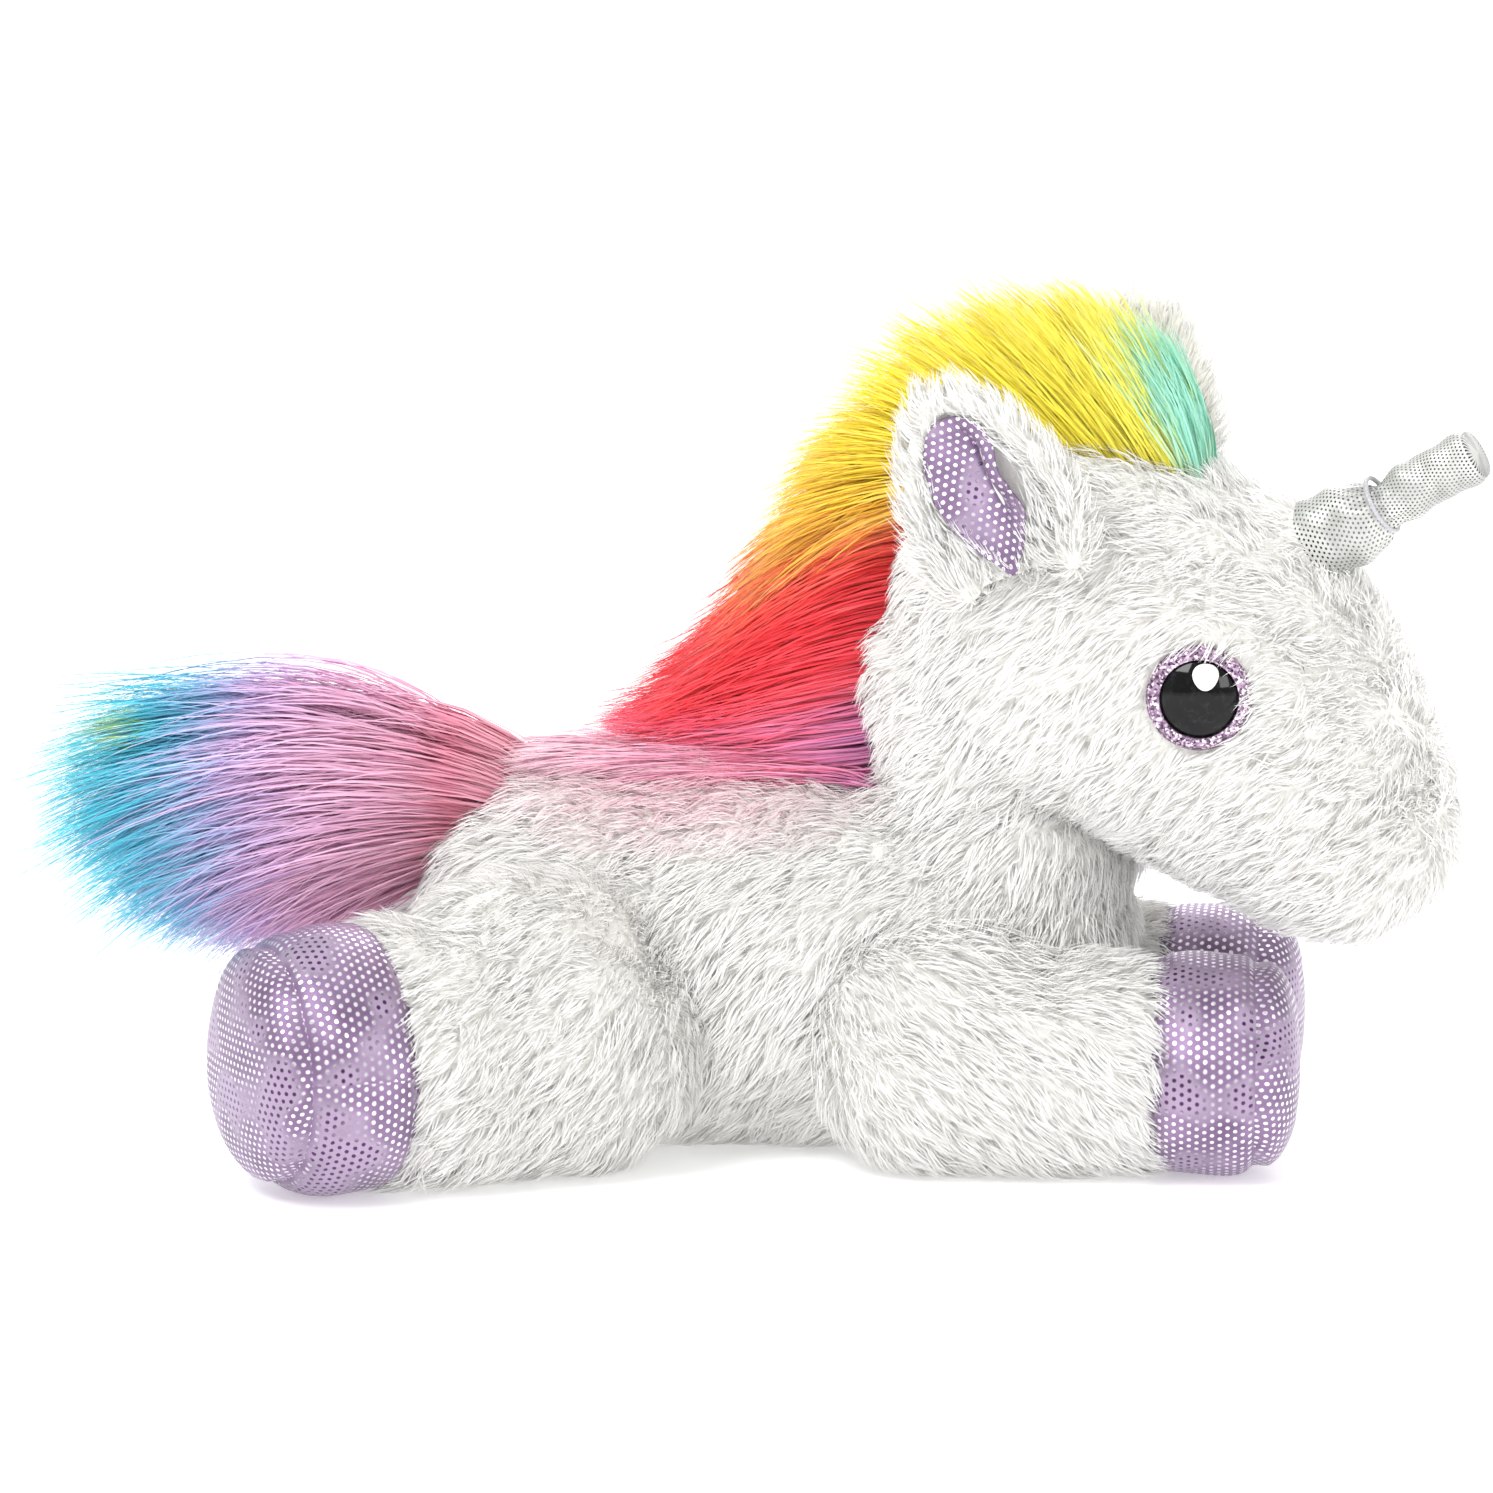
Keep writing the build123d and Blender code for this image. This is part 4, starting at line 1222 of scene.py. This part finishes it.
def grow_ear(word, side):
    """Fur and foil of one ear, its pile brushed up to the tip."""
    body = f"ear_{word}"
    foot, along, _, _ = ear_frame(word)

    def lay(at, out):
        return along + (at - foot) / EAR_FAN

    skin = ear_skin(word)
    keep = beside_lining(word)
    pile = grow_fur(f"ear_pile_{word}", skin, EAR_DENSITY, 7.5, lay, 130 + side, keep, lift=0.8)
    dress_fur(skin, pile, body, f"ear_back_{word}")
    dress_foil(ear_lining(word, side), body, f"ear_lining_{word}")


def dress_mane(hair, body, *replaced):
    dress(hair, mane_dye, body, replaced)


torso = torso_skin()
torso_pile = grow_fur("torso_pile", torso, DENSITY, 8.0, torso_lay, 101, off_floor, blush)
dress_fur(torso, torso_pile, "torso", "torso_cover")
head = head_skin()
head_pile = grow_fur("head_pile", head, DENSITY, 7.0, head_lay, 103, clear_of_eyes)
dress_fur(head, head_pile, "head", "head_cover")
for limb in ("front", "rear"):
    for word, side in SIDES:
        grow_leg(limb, word, side)
for word, side in SIDES:
    grow_ear(word, side)
dress(horn_skin(), horn_cloth, "horn", ["horn_cover"])
# Painted highlight: a white spot on each pupil that stands in for the lamp's reflection.
glint_paint = make_matt("painted_glint", "E4E2DA", "FFFFFF", 5000.0, 0.35, 0.05)
for word, side in SIDES:
    dress(eye_glint(word, side), glint_paint, "head")

forelock = grow_mane("mane_forelock", 9000, 0.0, FORELOCK_SPLIT, 201, 0.45, -0.02)
dress_mane(forelock, "head", "forelock_pile")
upper = grow_mane("mane_crest_upper", 9000, FORELOCK_SPLIT, CREST_SPLIT, 211, 0.42, 0.06)
dress_mane(upper, "head", "crest_pile")
lower = grow_mane("mane_crest_lower", 11000, CREST_SPLIT, MANE[-1, 0], 221, 0.36, 0.05)
dress_mane(lower, None)
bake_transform(lower)
dress_mane(grow_withers("mane_withers", 8000, 231), "torso", "withers_pile")
dress(grow_tail("tail_hair", 14000, 241, torso), tail_dye, "tail", ["tail_pile"])

finish_nodes(make_glitter(), "eye_ring_right", "eye_ring_left")
finish_nodes(make_gloss("black_pupil", "020203", "303034"), "eye_dome_right", "eye_dome_left")
washer_nylon = make_matt("washer_nylon", "C9C6BC", "DEDCD4", 900.0, 0.4, 0.05)
finish_nodes(washer_nylon, "eye_washer_right", "eye_washer_left")
finish_nodes(make_matt("silver_thread", "9A9AA2", "D8D8DC", 2500.0, 0.35, 0.1), "horn_thread")
finish_nodes(make_matt("tail_cloth", "D77F9C", "E79DB8", 1200.0, 0.85), "tail_backing")
finish_nodes(make_matt("pellet_mass", "B9C4CC", "E2E8EC", 450.0, 0.45, 0.8), "pellets")
finish_nodes(make_matt("pouch_cloth", "CFC9BB", "E6E1D5", 1500.0, 0.9), "pellet_bag")
fillings = [name for name in frame["nodes"] if "_filling" in name]
finish_nodes(make_matt("fibre_fill", "DCD9D0", "F2F0EA", 300.0, 0.95, 1.0), *fillings)


# --- floor, light and camera ---
CAMERA_TURN, CAMERA_RISE = 6.0, 9.0  # degrees, round the toy and above the table
CAMERA_DISTANCE = 1.3
PICTURE_WIDTH = 0.3135  # metres across the picture at the toy
TABLE_HALF = 60.0
aim = np.mean([cad_low, cad_high], axis=0) + np.array([2.7, 0.0, -3.8]) * MM


def white_world():
    """Even light from all round that shows white behind the toy, dimmer from behind the camera."""
    world = bpy.data.worlds.new("studio")
    bpy.context.scene.world = world
    world.use_nodes = True
    nodes = world.node_tree.nodes
    nodes.clear()
    kinds = ("TexCoord", "SeparateXYZ", "MapRange", "Background", "Background")
    kinds += ("LightPath", "MixShader", "OutputWorld")
    place, split, ramp, soft, plain, ray, mix, out = (nodes.new("ShaderNode" + kind) for kind in kinds)
    for socket, value in zip(list(ramp.inputs)[1:5], (-1.0, 0.2, 0.58, 1.0)):
        socket.default_value = value
    soft.inputs[0].default_value = grey(1.0)
    plain.inputs[0].default_value = grey(1.0)
    for source, target in (
        (place.outputs["Generated"], split.inputs[0]),
        (split.outputs[1], ramp.inputs[0]),
        (ramp.outputs[0], soft.inputs[1]),
        (ray.outputs["Is Camera Ray"], mix.inputs[0]),
        (soft.outputs[0], mix.inputs[1]),
        (plain.outputs[0], mix.inputs[2]),
        (mix.outputs[0], out.inputs[0]),
    ):
        world.node_tree.links.new(source, target)


def softbox(name, place, size, power):
    """Square lamp that faces the toy."""
    lamp = bpy.data.lights.new(name, "AREA")
    lamp.size = size
    lamp.energy = power
    obj = link(name, lamp)
    obj.location = place
    obj.rotation_euler = (Vector(aim) - Vector(place)).to_track_quat("-Z", "Y").to_euler()


def pale_floor():
    corners = np.array([[-1, -1, 0], [1, -1, 0], [1, 1, 0], [-1, 1, 0]]) * TABLE_HALF
    floor = mesh_object("floor", corners, [np.array([[0, 1, 2, 3]])])
    s = Shader("white_table")
    fleck = s.noise(s.object_place(), 60.0)
    s.set(Base_Color=s.ramp(fleck, [(0.0, grey(0.94)), (1.0, grey(0.97))]), Roughness=0.9)
    s.set(Specular_IOR_Level=0.1, Emission_Color=grey(1.0), Emission_Strength=0.35)
    set_material(floor, s.material)


def camera():
    turn, rise = math.radians(CAMERA_TURN), math.radians(CAMERA_RISE)
    back = np.array([math.sin(turn) * math.cos(rise), -math.cos(turn) * math.cos(rise), math.sin(rise)])
    data = bpy.data.cameras.new("camera")
    data.sensor_width = 36.0
    data.lens = data.sensor_width * CAMERA_DISTANCE / PICTURE_WIDTH
    data.clip_end = 20.0
    obj = link("camera", data)
    obj.location = Vector(aim + back * CAMERA_DISTANCE)
    obj.rotation_euler = Vector(back).to_track_quat("Z", "Y").to_euler()
    bpy.context.scene.camera = obj


white_world()
pale_floor()
softbox("key", (-0.5, -0.9, 1.2), 0.6, 12.0)
softbox("fill", (1.0, -0.9, 0.5), 0.4, 3.0)
softbox("rim", (0.2, 1.1, 0.9), 0.8, 6.0)
camera()
bpy.context.scene.view_settings.view_transform = "Standard"
